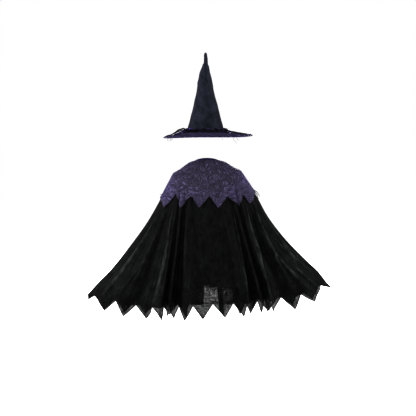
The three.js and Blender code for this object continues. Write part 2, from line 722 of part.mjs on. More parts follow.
// One strand of the band: torn strips twisted together and tied round the foot of the crown.
function bandStrand(name, phase, colour) {
  const places = ringTurns(BAND.stops);
  const middleAt = (turn) => {
    const wind = BAND.turns * turn + phase;
    const radius = crownRadius(BAND.height) + BAND.lift + BAND.twist * Math.cos(wind);
    return new THREE.Vector3(
      HAT.x + crownOff(BAND.height) + radius * Math.cos(turn),
      HAT.y + radius * Math.sin(turn),
      BAND.height + BAND.twist * Math.sin(wind),
    );
  };
  const section = (turn) => {
    const middle = middleAt(turn);
    const along = middleAt(turn + 0.01).sub(middleAt(turn - 0.01)).normalize();
    const side = new THREE.Vector3(0, 0, 1).cross(along).normalize();
    const up = along.clone().cross(side);
    return Array.from({ length: BAND.sides }, (_, j) => {
      const round = (j / BAND.sides) * 2 * Math.PI;
      return middle
        .clone()
        .addScaledVector(side, Math.cos(round) * BAND.strand)
        .addScaledVector(up, Math.sin(round) * BAND.strand);
    });
  };
  return tubeSolid(name, places, section, true, cloth(colour, 0.8));
}

// Loose ends of the band: flat torn strips that arch over the brim. Each row of a path is x, y and the
// height over the brim, from where the strip leaves the band out to where it lies on the brim.
const STRIPS = [
  {
    name: "hat_strip_black_a",
    width: 6,
    colour: 0x15161b,
    path: [
      [-107.4, -37, 13.5],
      [-118, -42, 21],
      [-136, -44, 19],
      [-158, -40, 9],
      [-180, -30, 2],
      [-202, -20, 1],
    ],
  },
  {
    name: "hat_strip_black_b",
    width: 5,
    colour: 0x17181d,
    path: [[-110.2, -30, 11], [-124, -24, 13], [-144, -16, 10], [-168, -6, 3], [-190, 4, 1]],
  },
  {
    name: "hat_strip_purple_a",
    width: 9,
    colour: 0x4a3a7e,
    path: [[-89.8, -70.4, 13.5], [-104, -76, 11], [-122, -76, 6], [-142, -70, 1.6], [-160, -62, 0.9]],
  },
  {
    name: "hat_strip_black_c",
    width: 6,
    colour: 0x15161b,
    path: [[103.3, 0, 13.5], [116, -10, 12], [140, -20, 6], [170, -24, 2.6], [198, -20, 2]],
  },
  {
    name: "hat_strip_purple_b",
    width: 9,
    colour: 0x54439a,
    path: [[97.8, -38, 13.5], [109, -58, 12], [118, -82, 6], [120, -104, 3], [118, -126, 2.2]],
  },
];
const STRIP = { thickness: 1.2, stops: 14, narrowing: 0.45 };

// A place over the brim as a point in space.
function overBrim([x, y, height]) {
  const across = Math.hypot(x - HAT.x, y);
  const turn = Math.atan2(y, x - HAT.x);
  return new THREE.Vector3(x, y, brimHeight(turn, across) + HAT.brimThickness / 2 + height);
}

function strip({ name, width, colour, path }) {
  const curve = new THREE.CatmullRomCurve3(path.map(overBrim));
  const places = Array.from({ length: STRIP.stops + 1 }, (_, i) => i / STRIP.stops);
  const section = (t) => {
    const middle = curve.getPointAt(t);
    const along = curve.getTangentAt(t);
    const side = new THREE.Vector3(0, 0, 1).cross(along).normalize();
    const up = along.clone().cross(side).multiplyScalar(STRIP.thickness / 2);
    const half = side.multiplyScalar((width / 2) * mix(1, STRIP.narrowing, t));
    return [
      middle.clone().add(half).add(up),
      middle.clone().sub(half).add(up),
      middle.clone().sub(half).sub(up),
      middle.clone().add(half).sub(up),
    ];
  };
  return tubeSolid(name, places, section, false, cloth(colour, 0.85));
}

const costume = new THREE.Group();
costume.add(...cape(), facing(), ...capelet(), neckBinding(), neckTab());
costume.add(crown(), brim(), brimBinding());
costume.add(bandStrand("hat_band_black", 0, 0x15161b), bandStrand("hat_band_purple", Math.PI, 0x46387a));
costume.add(...STRIPS.map(strip));

export default costume;
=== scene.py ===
# %% [markdown]
# # A child's witch costume, seen from the back
# A cape of thin black gauze, a short purple cape of crushed velvet over its shoulders, and a tall pointed hat. The
# wearer holds the arms out, so the cloth hangs in a wide bell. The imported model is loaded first: it is the fixed
# frame, in metres, that each piece below is laid on.

import bmesh
import bpy
import numpy as np
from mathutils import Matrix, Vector


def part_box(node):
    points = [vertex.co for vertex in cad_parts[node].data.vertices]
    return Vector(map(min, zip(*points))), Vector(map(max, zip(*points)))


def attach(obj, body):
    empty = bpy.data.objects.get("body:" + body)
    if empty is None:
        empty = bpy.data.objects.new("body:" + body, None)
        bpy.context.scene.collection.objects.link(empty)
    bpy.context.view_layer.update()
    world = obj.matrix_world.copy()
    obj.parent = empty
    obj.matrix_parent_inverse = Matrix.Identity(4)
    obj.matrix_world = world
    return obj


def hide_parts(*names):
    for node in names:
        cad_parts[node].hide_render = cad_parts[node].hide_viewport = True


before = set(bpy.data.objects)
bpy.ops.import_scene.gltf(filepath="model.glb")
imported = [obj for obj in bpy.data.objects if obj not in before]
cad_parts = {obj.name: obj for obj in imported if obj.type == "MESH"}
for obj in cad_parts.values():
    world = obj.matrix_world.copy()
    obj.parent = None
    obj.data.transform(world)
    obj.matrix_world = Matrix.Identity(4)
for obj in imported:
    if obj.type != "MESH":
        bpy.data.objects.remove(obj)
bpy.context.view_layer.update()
MM = 0.001
print("nodes in the frame:", len(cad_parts))

# %% [markdown]
# ## Camera
# A long lens from behind the wearer, a little above the shoulders. Its focal length makes one pixel of a picture
# 416 pixels wide cover 5 millimetres at the costume.

# %% Place the camera
CAMERA_PLACE, CAMERA_AIM = Vector((0.005, -4.5, 0.115)), Vector((0.005, 0, -0.24))
SENSOR, PIXELS_ACROSS, PIXEL = 36, 416, 5 * MM
look = CAMERA_AIM - CAMERA_PLACE
camera_data = bpy.data.cameras.new("camera")
camera_data.sensor_width = SENSOR
camera_data.lens = SENSOR * look.length / (PIXELS_ACROSS * PIXEL)
camera = bpy.data.objects.new("camera", camera_data)
camera.location = CAMERA_PLACE
camera.rotation_euler = look.to_track_quat("-Z", "Y").to_euler()
bpy.context.scene.collection.objects.link(camera)
bpy.context.scene.camera = camera
print("lens:", round(camera_data.lens, 2), "mm")

# %% [markdown]
# ## Studio
# A pale floor at foot height, a white surround and large soft lights. Black cloth shows its folds only where light
# strikes it from the side, so two lights stand well to the left and right.

# %% Build the studio
FLOOR_HEIGHT, FLOOR_RADIUS, LIGHTS_AIM = -1.12, 14, Vector((0, 0, -0.35))


def soft_light(name, place, size, power):
    """A square area light of that size at a place, turned to the middle of the costume."""
    data = bpy.data.lights.new(name, "AREA")
    data.size, data.energy = size, power
    light = bpy.data.objects.new(name, data)
    light.location = place
    light.rotation_euler = (LIGHTS_AIM - Vector(place)).to_track_quat("-Z", "Y").to_euler()
    bpy.context.scene.collection.objects.link(light)


turns = np.linspace(0, 2 * np.pi, 96, endpoint=False)
floor_mesh = bpy.data.meshes.new("floor")
floor_points = np.stack([np.cos(turns), np.sin(turns), np.full_like(turns, FLOOR_HEIGHT / FLOOR_RADIUS)], -1)
floor_mesh.from_pydata((floor_points * FLOOR_RADIUS).tolist(), [], [list(range(len(turns)))])
floor = bpy.data.objects.new("floor", floor_mesh)
bpy.context.scene.collection.objects.link(floor)
floor_paint = bpy.data.materials.new("pale_floor")
floor_paint.use_nodes = True
for socket, value in {"Base Color": (1, 1, 1, 1), "Roughness": 1, "Specular IOR Level": 0}.items():
    floor_paint.node_tree.nodes["Principled BSDF"].inputs[socket].default_value = value
floor_mesh.materials.append(floor_paint)

world = bpy.data.worlds.new("white_surround")
world.use_nodes = True
world.node_tree.nodes["Background"].inputs["Color"].default_value = (1, 1, 1, 1)
world.node_tree.nodes["Background"].inputs["Strength"].default_value = 1
bpy.context.scene.world = world
bpy.context.scene.view_settings.view_transform = "Standard"
bpy.context.scene.view_settings.gamma = 0.6

soft_light("left_light", (-3.5, -0.55, 1.0), 0.9, 235)
soft_light("right_light", (3.4, -0.45, 0.9), 0.9, 200)
soft_light("front_light", (-1.2, -5.0, 2.6), 2.0, 440)
soft_light("rear_light", (0.4, 4.2, 1.6), 2.0, 170)
print("floor:", FLOOR_RADIUS, "m round; lights:", len(bpy.data.lights))

# %% [markdown]
# ## Meshes from arrays
# Each surface is a grid of points. Two such grids, one for each face of the cloth, are joined round their rim into
# a closed wall, so that the sheet has a thickness from any side.

# %% Grids, walls and pieces


def grid_faces(rows, columns, around=False, start=0):
    """The four corners of each cell of a grid. With around, the last column is joined to the first."""
    row, column = np.meshgrid(np.arange(rows - 1), np.arange(columns if around else columns - 1), indexing="ij")
    here, following = row * columns + column, row * columns + (column + 1) % columns
    return np.stack([here, following, following + columns, here + columns], -1).reshape(-1, 4) + start


def ring_faces(rows, columns):
    """Faces of a closed ring: a grid whose last row and last column are joined to the first ones."""
    closing = grid_faces(2, columns, around=True)
    closing[:, 2:] += (rows - 2) * columns
    return np.concatenate([grid_faces(rows, columns, around=True), closing[:, ::-1]])


def wall_faces(rows, columns):
    """Faces of a closed wall: the outer grid, the inner grid turned over, and a strip round their rim."""
    count = rows * columns
    number = np.arange(count).reshape(rows, columns)
    rim = np.concatenate([number[0, :-1], number[:-1, -1], number[-1, :0:-1], number[:0:-1, 0]])
    following = np.roll(rim, -1)
    strip = np.stack([following, rim, rim + count, following + count], -1)
    outer = grid_faces(rows, columns)
    return np.concatenate([outer, outer[:, ::-1] + count, strip])


def signed_volume(points, faces):
    """Six times the volume inside closed faces, negative if they are inside out."""
    a, b, c, d = (points[faces[:, k]] for k in range(4))
    return np.sum(a * np.cross(b, c)) + np.sum(a * np.cross(c, d))


def new_piece(name, points, faces, paint, uv, node=None, maps=None, weld=False, crisp=70):
    """Makes a mesh object at the origin from its points and faces, with its faces outwards and its finish on. It
    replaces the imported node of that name."""
    points = points.reshape(-1, 3)
    if signed_volume(points, faces) < 0:
        faces = faces[:, ::-1]
    mesh = bpy.data.meshes.new(name)
    mesh.from_pydata(points, [], faces)
    layer = mesh.uv_layers.new(name="cloth")
    layer.data.foreach_set("uv", uv.reshape(-1, 2)[faces.ravel()].astype(np.float32).ravel())
    for key, value in (maps or {}).items():
        mesh.attributes.new(key, "FLOAT", "POINT").data.foreach_set("value", value.astype(np.float32).ravel())
    if weld:
        work = bmesh.new()
        work.from_mesh(mesh)
        bmesh.ops.remove_doubles(work, verts=work.verts, dist=1e-6)
        work.to_mesh(mesh)
        work.free()
    mesh.polygons.foreach_set("use_smooth", np.ones(len(mesh.polygons), dtype=bool))
    mesh.set_sharp_from_angle(angle=np.radians(crisp))
    mesh.materials.append(paint)
    piece = bpy.data.objects.new(name, mesh)
    bpy.context.scene.collection.objects.link(piece)
    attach(piece, "root")
    if node:
        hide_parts(node)
    return piece


def new_wall(name, outer, inner, paint, slot, uv, node=None, **maps):
    """A piece between an outer and an inner grid of points. Its UV map and other maps are the same on both."""
    points = np.concatenate([outer.reshape(-1, 3), inner.reshape(-1, 3)])
    both = {key: np.concatenate([value, value]) for key, value in maps.items()}
    return new_piece(name, points, wall_faces(*outer.shape[:2]), paint, np.concatenate([uv, uv]), node, both)


def unit(vectors):
    """Each vector divided by its own length."""
    return vectors / np.maximum(np.linalg.norm(vectors, axis=-1, keepdims=True), 1e-12)


def mix(a, b, t):
    """a where t is 0, b where it is 1, and an even run between them."""
    return a + (b - a) * t


def smooth(t):
    """0 below 0, 1 above 1, and an even rise between them: 3 t squared less 2 t cubed."""
    t = np.clip(t, 0, 1)
    return t * t * (3 - 2 * t)


def lengths_along(points, axis):
    """Distance along a grid from its first row or column, added up step by step."""
    steps = np.linalg.norm(np.diff(points, axis=axis), axis=-1)
    start = np.zeros_like(np.take(steps, [0], axis=axis))
    return np.concatenate([start, np.cumsum(steps, axis=axis)], axis=axis)


def cloth_uv(points, row):
    """The cloth's own map in metres: across as along one row of the grid, and down along each column."""
    across = lengths_along(points, 1)[[row]].repeat(len(points), 0)
    return np.stack([across, lengths_along(points, 0)], -1)


def grid_area(points):
    """Sum over the cells of the cross product of their first two sides."""
    down, across = np.diff(points[:, :-1], axis=0), np.diff(points[:-1], axis=1)
    return round(float(np.sum(np.linalg.norm(np.cross(down, across), axis=-1))), 3)


def tube_points(path, radius, sides, reference):
    """Rings round a path: each ring is a circle across the path, with reference as its first direction."""
    along = unit(np.gradient(path, axis=-2))
    side = unit(np.cross(along, np.broadcast_to(reference, path.shape)))
    up = np.cross(side, along)
    turn = np.arange(sides) / sides * 2 * np.pi
    width = np.broadcast_to(np.asarray(radius, dtype=float), path.shape[:-1])[..., None, None]
    ring = np.cos(turn)[:, None] * side[..., None, :] + np.sin(turn)[:, None] * up[..., None, :]
    return path[..., None, :] + width * ring


def capped_tube_faces(stops, sides):
    """Faces of an open tube with an even count of sides. Each end is closed by cells across the ring."""
    half = np.arange(sides // 2 - 1)
    cap = np.stack([half, half + 1, sides - 2 - half, sides - 1 - half], -1)
    return np.concatenate([grid_faces(stops, sides, around=True), cap[:, ::-1], cap + (stops - 1) * sides])


print("a wall of 3 by 3 points has", len(wall_faces(3, 3)), "faces")

# %% [markdown]
# ## The form of the cape
# The cape is one long surface. One number, h, goes round it and counts the points cut along the hem: 0 at the left
# side fold, 17 at the right one, less or more on the front. The other, s, goes down the cloth: 0 at the neck, 1 at
# the shoulders, 2 at the notches of the hem. A curve that never overshoots joins the places in each table.

# %% Curves through tables


def curve_through(table, along, value):
    """A smooth curve through one column of a table. Its slope at a row is the harmonic mean of those on both
    sides, and 0 where they differ in sign, so it never swings past the values."""
    place, height = table[:, along], table[:, value]
    step = np.diff(place)
    rise = np.diff(height) / step
    slope = np.concatenate([rise[:1], np.zeros(len(rise) - 1), rise[-1:]])
    before, after = 2 * step[1:] + step[:-1], step[1:] + 2 * step[:-1]
    same = rise[:-1] * rise[1:] > 0
    safe = np.where(same, rise[:-1], 1), np.where(same, rise[1:], 1)
    slope[1:-1] = np.where(same, (before + after) / (before / safe[0] + after / safe[1]), 0)

    def read(where):
        inside = np.clip(where, place[0], place[-1])
        i = np.clip(np.searchsorted(place, inside, side="left") - 1, 0, len(step) - 1)
        t = (inside - place[i]) / step[i]
        rest = 1 - t
        return (
            height[i] * (1 + 2 * t) * rest**2
            + slope[i] * step[i] * t * rest**2
            + height[i + 1] * t**2 * (3 - 2 * t)
            - slope[i + 1] * step[i] * t**2 * rest
        )

    return read


# Once round the hem, one row for each whole h from -7: x at the shoulders, x and z at the notches, outward swing
# of the point and its share of the full point length. Millimetres.
STATIONS = np.column_stack([np.arange(-7, 25), [
    (-3, -20, -757, 0, 0.04), (-48, -70, -757, 0, 0.04), (-84, -114, -754, 0.08, 0.95), (-112, -196, -744, -0.02, 1),
    (-134, -312, -728, -0.1, 0.95), (-150, -418, -720, -0.14, 0.95), (-160, -515, -700, -0.16, 0.9),
    (-165, -601, -676, 0.05, 0.45), (-160, -498, -679, -0.16, 0.91), (-152, -399, -700, -0.17, 0.88),
    (-142, -300, -711, 0.07, 0.85), (-130, -225, -703, 0.12, 0.93), (-116, -196, -692, 0.06, 0.9),
    (-101, -160, -702, -0.04, 0.93), (-82, -105, -698, -0.02, 0.9), (-52, -22, -692, 0.04, 0.98),
    (-4, 79, -682, 0.12, 0.97), (46, 166, -684, 0.2, 0.93), (78, 219, -678, -0.05, 0.9), (101, 261, -668, 0.05, 0.85),
    (120, 296, -675, 0.04, 0.88), (136, 327, -672, -0.04, 0.88), (148, 415, -669, 0.32, 0.92),
    (158, 508, -639, 0.41, 0.9), (164, 603, -615, 1.05, 0.66), (160, 514, -650, 0.42, 0.88),
    (150, 424, -684, 0.25, 0.9), (134, 312, -712, 0.12, 0.95), (112, 232, -734, 0, 0.95), (84, 168, -746, 0.08, 0.9),
    (48, 118, -752, 0, 0.04), (3, 62, -756, 0, 0.04),
]])
# How far out the cloth has run at a share v of the way down: v, at the left fold, at the right fold, in the middle.
OUTWARD = np.array([
    (0, 0, 0, 0), (0.2, 0.147, 0.168, 0.24), (0.4, 0.307, 0.311, 0.46), (0.6, 0.51, 0.51, 0.66),
    (0.8, 0.737, 0.762, 0.84), (0.9, 0.875, 0.9, 0.92), (1, 1, 1, 1),
])
# The large folds: h of the crest at the hem, half width in points, depth in millimetres, negative for a valley.
FOLDS = np.array([
    (-6.4, 0.6, -16), (-5.6, 0.8, 26), (-4.8, 0.8, -30), (-4, 0.8, 34), (-2.75, 1, -14), (-1.5, 1.2, 18),
    (1.5, 1.2, 20), (2.75, 1, -16), (4, 0.75, 42), (4.75, 0.75, -36), (5.5, 0.75, 36), (6.25, 0.75, -38),
    (7, 0.75, 32), (8, 0.9, -10), (9.25, 1, 8), (10.5, 0.75, 30), (11.25, 0.75, -34), (12, 0.75, 34),
    (12.75, 0.75, -36), (13.5, 0.75, 36), (14.5, 0.9, -24), (15.75, 1, 24), (18.5, 1.2, 18), (19.75, 1, -16),
    (20.75, 0.8, 32), (21.5, 0.8, -28), (22.25, 0.8, 26), (23.1, 0.8, -16),
])
LEFT_EDGE, LEFT_FOLD, RIGHT_FOLD, RIGHT_EDGE = -7, 0, 17, 24
shoulder_x, hem_x, hem_z, swing, reach = (curve_through(STATIONS, 0, k) for k in range(1, 6))
out_left, out_right, out_middle = (curve_through(OUTWARD, 0, k) for k in range(1, 4))
print("points round the hem:", RIGHT_EDGE - LEFT_EDGE)

# %% [markdown]
# A level cut through the cape is a flattened oval, rounder at the hem than at the shoulders. The large folds are
# added to its depth and grow from nothing at the shoulders to their full depth at the hem, as cloth does when it
# hangs from a short edge and runs out to a long one.

# %% The cape's surface
NECK_HALF_WIDTH, NECK_HALF_DEPTH, NECK_MIDDLE, NECK_RISE = 60, 50, -20, 20
LEFT_SHOULDER, RIGHT_SHOULDER, SHOULDER_HEIGHT, SHOULDER_TILT, SHOULDER_DROP = 165, 164, -61, 7, 60
ROUND_AT_SIDE, ROUND_AT_MIDDLE, YOKE_BULGE = 10, 50, 13
BACK_DEPTH, FRONT_DEPTH, SIDE_FOLD_DEPTH = (100, 190), (92, 150), 22
SECTION_POWER, SECTION_ROOT = (2.3, 1.7), (0.45, 0.95)
FRONT_EDGE_SPAN, FOLD_GROWTH, YOKE_SCALE, NUDGE = 2.5, 1.25, 9.48, 0.02


def is_back(h):
    """True between the two side folds."""
    return (h >= LEFT_FOLD) & (h <= RIGHT_FOLD)


def shoulder_share(h):
    """x at the shoulders over the half width on that side: -1 to 1."""
    x = shoulder_x(h)
    return x / np.where(x < 0, LEFT_SHOULDER, RIGHT_SHOULDER)


def neck_edge(h):
    """The neck opening: an oval whose back edge is higher than its front edge."""
    share = shoulder_share(h)
    depth = np.sqrt(np.maximum(0, 1 - share**2)) * np.where(is_back(h), 1, -1)
    return np.stack([NECK_HALF_WIDTH * share, -NECK_HALF_DEPTH * depth, NECK_MIDDLE + NECK_RISE * depth], -1)


def shoulder_z(h):
    """Height of the shoulder corner: it drops with the square of the distance from the two shoulder ends."""
    share = shoulder_share(h)
    return SHOULDER_HEIGHT + SHOULDER_TILT * share - SHOULDER_DROP * (1 - share**2)


def skirt_x(h, v):
    """x runs from the shoulders out to the hem by the shares in OUTWARD. At the front edges the run is even."""
    share = shoulder_share(h)
    body = mix(out_middle(v), np.where(share < 0, out_left(v), out_right(v)), share**2)
    to_edge = np.minimum(h - LEFT_EDGE, RIGHT_EDGE - h)
    run = mix(np.maximum(v, 0), body, smooth(to_edge / FRONT_EDGE_SPAN))
    return mix(shoulder_x(h), hem_x(h), run)


def fold_depth(h, v):
    """Sum of the large folds, each a squared cosine across, times v to a power."""
    away = np.clip(np.abs(h[..., None] - FOLDS[:, 0]) / FOLDS[:, 1], 0, 1)
    return np.sum(FOLDS[:, 2] * np.cos(away * np.pi / 2) ** 2, -1) * np.clip(v, 0, 1) ** FOLD_GROWTH


def skirt(h, v):
    """A point below the shoulders. Its depth is full (1 - share^power)^root, plus a round turn at the side fold,
    plus the folds."""
    v = np.broadcast_to(v, h.shape)
    x = skirt_x(h, v)
    left, right = np.full_like(h, LEFT_FOLD), np.full_like(h, RIGHT_FOLD)
    half = np.where(x < 0, -skirt_x(left, v), skirt_x(right, v))
    share = np.clip(np.abs(x / half), 0, 1)
    full = np.where(is_back(h), mix(*BACK_DEPTH, v), mix(*FRONT_DEPTH, v))
    depth = full * (1 - share ** mix(*SECTION_POWER, v)) ** mix(*SECTION_ROOT, v)
    depth = depth + SIDE_FOLD_DEPTH * np.sqrt(1 - share**2) + fold_depth(h, v)
    return np.stack([x, np.where(is_back(h), -1, 1) * depth, mix(shoulder_z(h), hem_z(h), v)], -1)


def yoke(neck, corner, s):
    """A straight run from the neck to the shoulder corner, bulged upwards by s (1 - s) cubed, which is scaled to
    reach 1."""
    point = mix(neck, corner, s[..., None])
    point[..., 2] += YOKE_BULGE * YOKE_SCALE * s * (1 - s) ** 3
    return point


def cape_form(h, s):
    """The cape in millimetres: yoke, then skirt, with the shoulder corner rounded by a curve of three points."""
    h, s = np.broadcast_arrays(np.asarray(h, dtype=float), np.asarray(s, dtype=float))
    neck, corner = neck_edge(h), skirt(h, 0.0)
    turn = mix(ROUND_AT_MIDDLE, ROUND_AT_SIDE, shoulder_share(h) ** 2)
    above = turn / np.linalg.norm(corner - neck, axis=-1)
    below = turn / (corner[..., 2] - hem_z(h))
    t = np.clip((s - 1 + above) / (above + below), 0, 1)[..., None]
    start, end = yoke(neck, corner, 1 - above), skirt(h, below)
    rounded = (1 - t) ** 2 * start + 2 * t * (1 - t) * corner + t**2 * end
    lower = np.where((s >= 1 + below)[..., None], skirt(h, np.maximum(s - 1, 0)), rounded)
    return np.where((s <= 1 - above)[..., None], yoke(neck, corner, np.clip(s, 0, 1)), lower)


def share_down(h, z):
    """The s at which the skirt's column h has the height z."""
    return 1 + (z - shoulder_z(h)) / (hem_z(h) - shoulder_z(h))


def faces_away(h, s):
    """The direction straight out of the cloth: along it, crossed with round it."""
    s = np.clip(s, NUDGE, 2 - NUDGE)
    down = cape_form(h, s + NUDGE) - cape_form(h, s - NUDGE)
    round_it = cape_form(h + NUDGE, s) - cape_form(h - NUDGE, s)
    return unit(np.cross(down, round_it))


print("neck and hem at the middle of the back:", cape_form([8, 8], [0, 2]).round(1).tolist())

# %% [markdown]
# ## Creases
# The light shows the cloth by its creases, soft ridges that leave the shoulders and run down to the hem or fade on
# the way. They are listed one by one, bold on the two wings and quiet in the middle of the back.

# %% Lay the creases
# Each row: h and s at the top, h and s at the foot, half width in points, height in millimetres (a trough if
# negative).
CREASES = np.array([
    (0.95, 1.16, 0.8, 2.4, 0.2, 7.5), (0.35, 1.3, 0.4, 2.4, 0.2, 3), (1.5, 1.2, 1.35, 1.85, 0.26, -4.5),
    (1.9, 1.34, 2.0, 2.4, 0.2, 3.5), (2.45, 1.15, 2.6, 2.05, 0.3, -5), (3.35, 1.04, 3.75, 1.8, 0.26, 10),
    (3.72, 1.5, 3.3, 2.3, 0.26, 9), (2.95, 1.5, 3.0, 2.4, 0.12, 2.6), (3.75, 1.28, 4.1, 2.4, 0.22, -5),
    (4.35, 1.12, 4.55, 1.8, 0.22, 4.5), (4.75, 1.42, 5.05, 2.4, 0.16, 3.5), (5.25, 1.12, 5.75, 2.4, 0.28, -3.5),
    (5.85, 1.35, 5.95, 2.4, 0.14, 3.5), (6.2, 1.16, 6.4, 2.4, 0.24, -3.5), (6.5, 1.1, 6.85, 1.7, 0.18, 3.6),
    (7.2, 1.25, 7.3, 2.2, 0.22, 2.4), (8.1, 1.3, 8.0, 1.8, 0.35, 1.4), (9.1, 1.18, 9.2, 1.9, 0.4, -1.6),
    (10.1, 1.2, 10.0, 2.1, 0.26, 2), (11.35, 1.08, 10.4, 2.15, 0.12, 8.5), (11.32, 1.06, 11.0, 1.62, 0.11, 6),
    (11.6, 1.14, 11.05, 2.2, 0.24, -2), (12.3, 1.18, 11.7, 2.4, 0.2, 2.5), (12.9, 1.12, 12.3, 2.4, 0.22, -2.5),
    (13.4, 1.3, 12.9, 2.4, 0.15, 3.6), (14.5, 1.06, 13.95, 1.75, 0.24, 9.5), (14.1, 1.48, 13.3, 2.25, 0.24, 9),
    (13.9, 1.25, 13.2, 1.9, 0.16, -4), (15.1, 1.12, 14.5, 2.0, 0.26, -6), (16.05, 1.06, 15.2, 1.76, 0.2, 12),
    (15.5, 1.45, 15.1, 2.4, 0.16, 3.4), (16.0, 1.75, 16.45, 2.1, 0.18, 7), (16.7, 1.25, 16.15, 1.85, 0.14, 6.5),
    (16.35, 1.2, 15.9, 1.8, 0.12, -4), (15.9, 1.34, 16.6, 1.95, 0.1, 6.5), (15.25, 1.4, 15.95, 2.05, 0.16, 9.5),
    (16.5, 1.58, 16.75, 1.95, 0.08, 4.5), (0.9, 1.55, 0.6, 1.95, 0.1, 4.5), (1.9, 1.62, 1.45, 1.96, 0.1, 4),
    (-6.6, 1.2, -6.7, 2.4, 0.2, 3), (-5.9, 1.1, -6.1, 1.9, 0.24, -4), (-5.3, 1.16, -5.2, 2.4, 0.24, 5),
    (-4.4, 1.12, -4.5, 2.2, 0.26, -5), (-3.5, 1.18, -3.4, 2.4, 0.28, 6), (-2.9, 1.3, -2.6, 2.0, 0.22, -4),
    (-2.1, 1.15, -1.9, 2.4, 0.26, 5), (-1.3, 1.3, -1.1, 1.9, 0.2, -3.5), (-0.7, 1.22, -0.6, 2.4, 0.2, 4),
    (17.7, 1.2, 17.8, 2.4, 0.22, 4.5), (18.3, 1.15, 18.5, 2.0, 0.26, -5), (19.1, 1.12, 19.3, 2.4, 0.28, 6),
    (20.1, 1.25, 20.2, 2.2, 0.22, -4), (20.9, 1.1, 21.1, 2.4, 0.24, 5), (21.8, 1.18, 21.7, 2.0, 0.24, -5),
    (22.6, 1.14, 22.8, 2.4, 0.2, 4), (23.4, 1.3, 23.5, 2.2, 0.18, -3),
])
UNDER_CAPELET, CREASE_FADE, CREASE_WANDER, DAG_CURL = 1.15, 0.22, 0.05, 2.6
# A slow swell of the cloth between the creases: waves round the cape, waves down it, phase, millimetres.
SWELLS = np.array([
    (2.1, 3.1, 0.4, 1.1), (3.7, -2.2, 1.9, 0.8), (5.3, 4.7, 3.1, 0.55), (8.9, -6.1, 0.8, 0.3), (6.7, 9.3, 5.0, 0.3),
])


def crease_height(h, s):
    """Sum of the creases: a squared cosine across, rising and fading over a fifth of the length at each end. All
    start below the weight of the capelet. The swells are added below the shoulders."""
    total = np.zeros(np.broadcast(h, s).shape)
    for top_h, top_s, foot_h, foot_s, half, height in CREASES:
        t = (s - top_s) / (foot_s - top_s)
        line = mix(top_h, foot_h, t) + CREASE_WANDER * np.sin(5 * t + top_h)
        across = np.cos(np.clip(np.abs(h - line) / half, 0, 1) * np.pi / 2) ** 2
        total += height * across * smooth(t / CREASE_FADE) * smooth((1 - t) / CREASE_FADE)
    total *= smooth((s - UNDER_CAPELET) / CREASE_FADE)
    for round_it, down, phase, height in SWELLS:
        total += height * np.sin(round_it * h + phase) * np.sin(down * s + 2 * phase) * smooth((s - 1) / 0.3)
    return total


def cape_cloth(h, s, lift=0.0):
    """The creased cape in metres, moved out of the cloth by a lift in millimetres."""
    return (cape_form(h, s) + (crease_height(h, s) + lift)[..., None] * faces_away(h, s)) * MM


def hung_from(notch, h, down):
    """A place that hangs some millimetres below the notch line, as the points of the hem do. It swings sideways
    by the station's lean and curls a little away from the straight line, more so towards its tip."""
    side = swing(h)
    length = np.hypot(1, side)
    curl = DAG_CURL * np.sin(2.3 * h + 0.7) * (down / 70) ** 2
    return notch + np.stack([side / length * down, curl, -down / length], -1) * MM


print("deepest crease:", CREASES[:, 5].min(), "mm; highest:", CREASES[:, 5].max(), "mm")

# %% [markdown]
# ## Finishes
# Every finish is a Principled shader whose colour, roughness and bump come from patterns. A cloth's pattern reads
# its own UV map, in metres along and across its threads, so the weave follows the folds.

# %% Helpers for finishes


def put(tree, kind, settings=None, inputs=None):
    """Adds one node, with its settings and its inputs. An input is a value or another node's socket."""
    node = tree.nodes.new("ShaderNode" + kind)
    for key, value in (settings or {}).items():
        setattr(node, key, value)
    for key, value in (inputs or {}).items():
        if isinstance(value, bpy.types.NodeSocket):
            tree.links.new(value, node.inputs[key])
        else:
            node.inputs[key].default_value = value
    return node


def calc(tree, operation, *numbers, **settings):
    """The result of one sum."""
    return put(tree, "Math", {"operation": operation, **settings}, dict(enumerate(numbers))).outputs[0]


def spread(tree, value, low, high, new_low=0, new_high=1, clamp=True):
    """Carries the range low to high over to the range new_low to new_high."""
    limits = {"From Min": low, "From Max": high, "To Min": new_low, "To Max": new_high}
    return put(tree, "MapRange", {"clamp": clamp}, {"Value": value, **limits}).outputs[0]


def blend(tree, share, under, over, kind="MIX"):
    """One colour laid over another by a share."""
    settings = {"data_type": "RGBA", "blend_type": kind}
    return put(tree, "Mix", settings, {"Factor": share, 6: under, 7: over}).outputs[2]


def mesh_map(tree, name):
    """The value of one of the mesh's own maps."""
    return put(tree, "Attribute", {"attribute_name": name}).outputs["Fac"]


def new_finish(name, **values):
    """A material with its Principled shader's own sockets set."""
    finish = bpy.data.materials.new(name)
    finish.use_nodes = True
    shader = finish.node_tree.nodes["Principled BSDF"]
    for key, value in values.items():
        shader.inputs[key.replace("_", " ")].default_value = value
    return finish, finish.node_tree, shader


def two_tone(tree, amount, dark, light, low=0.3, high=0.7):
    """A colour between a dark and a light one, by an amount that is spread over the range low to high."""
    ramp = put(tree, "ValToRGB", None, {"Fac": amount})
    for stop, place, colour in zip(ramp.color_ramp.elements, (low, high), (dark, light)):
        stop.position, stop.color = place, (*colour, 1)
    return ramp.outputs["Color"]


def threads(tree, across, along):
    """Noise drawn out into threads: its scale per metre across and along, on the cloth's UV map."""
    uv = put(tree, "UVMap", {"uv_map": "cloth"}).outputs["UV"]
    stretched = put(tree, "Mapping", None, {"Vector": uv, "Scale": (across, along, 1)}).outputs["Vector"]
    return put(tree, "TexNoise", None, {"Vector": stretched, "Scale": 1, "Detail": 2}).outputs["Fac"]


def bump(tree, shader, *layers):
    """Stacks bump layers, each a height pattern with its depth in metres."""
    normal = {}
    for height, depth in layers:
        node = put(tree, "Bump", None, {"Height": height, "Distance": depth, "Strength": 1, **normal})
        normal = {"Normal": node.outputs["Normal"]}
    tree.links.new(normal["Normal"], shader.inputs["Normal"])


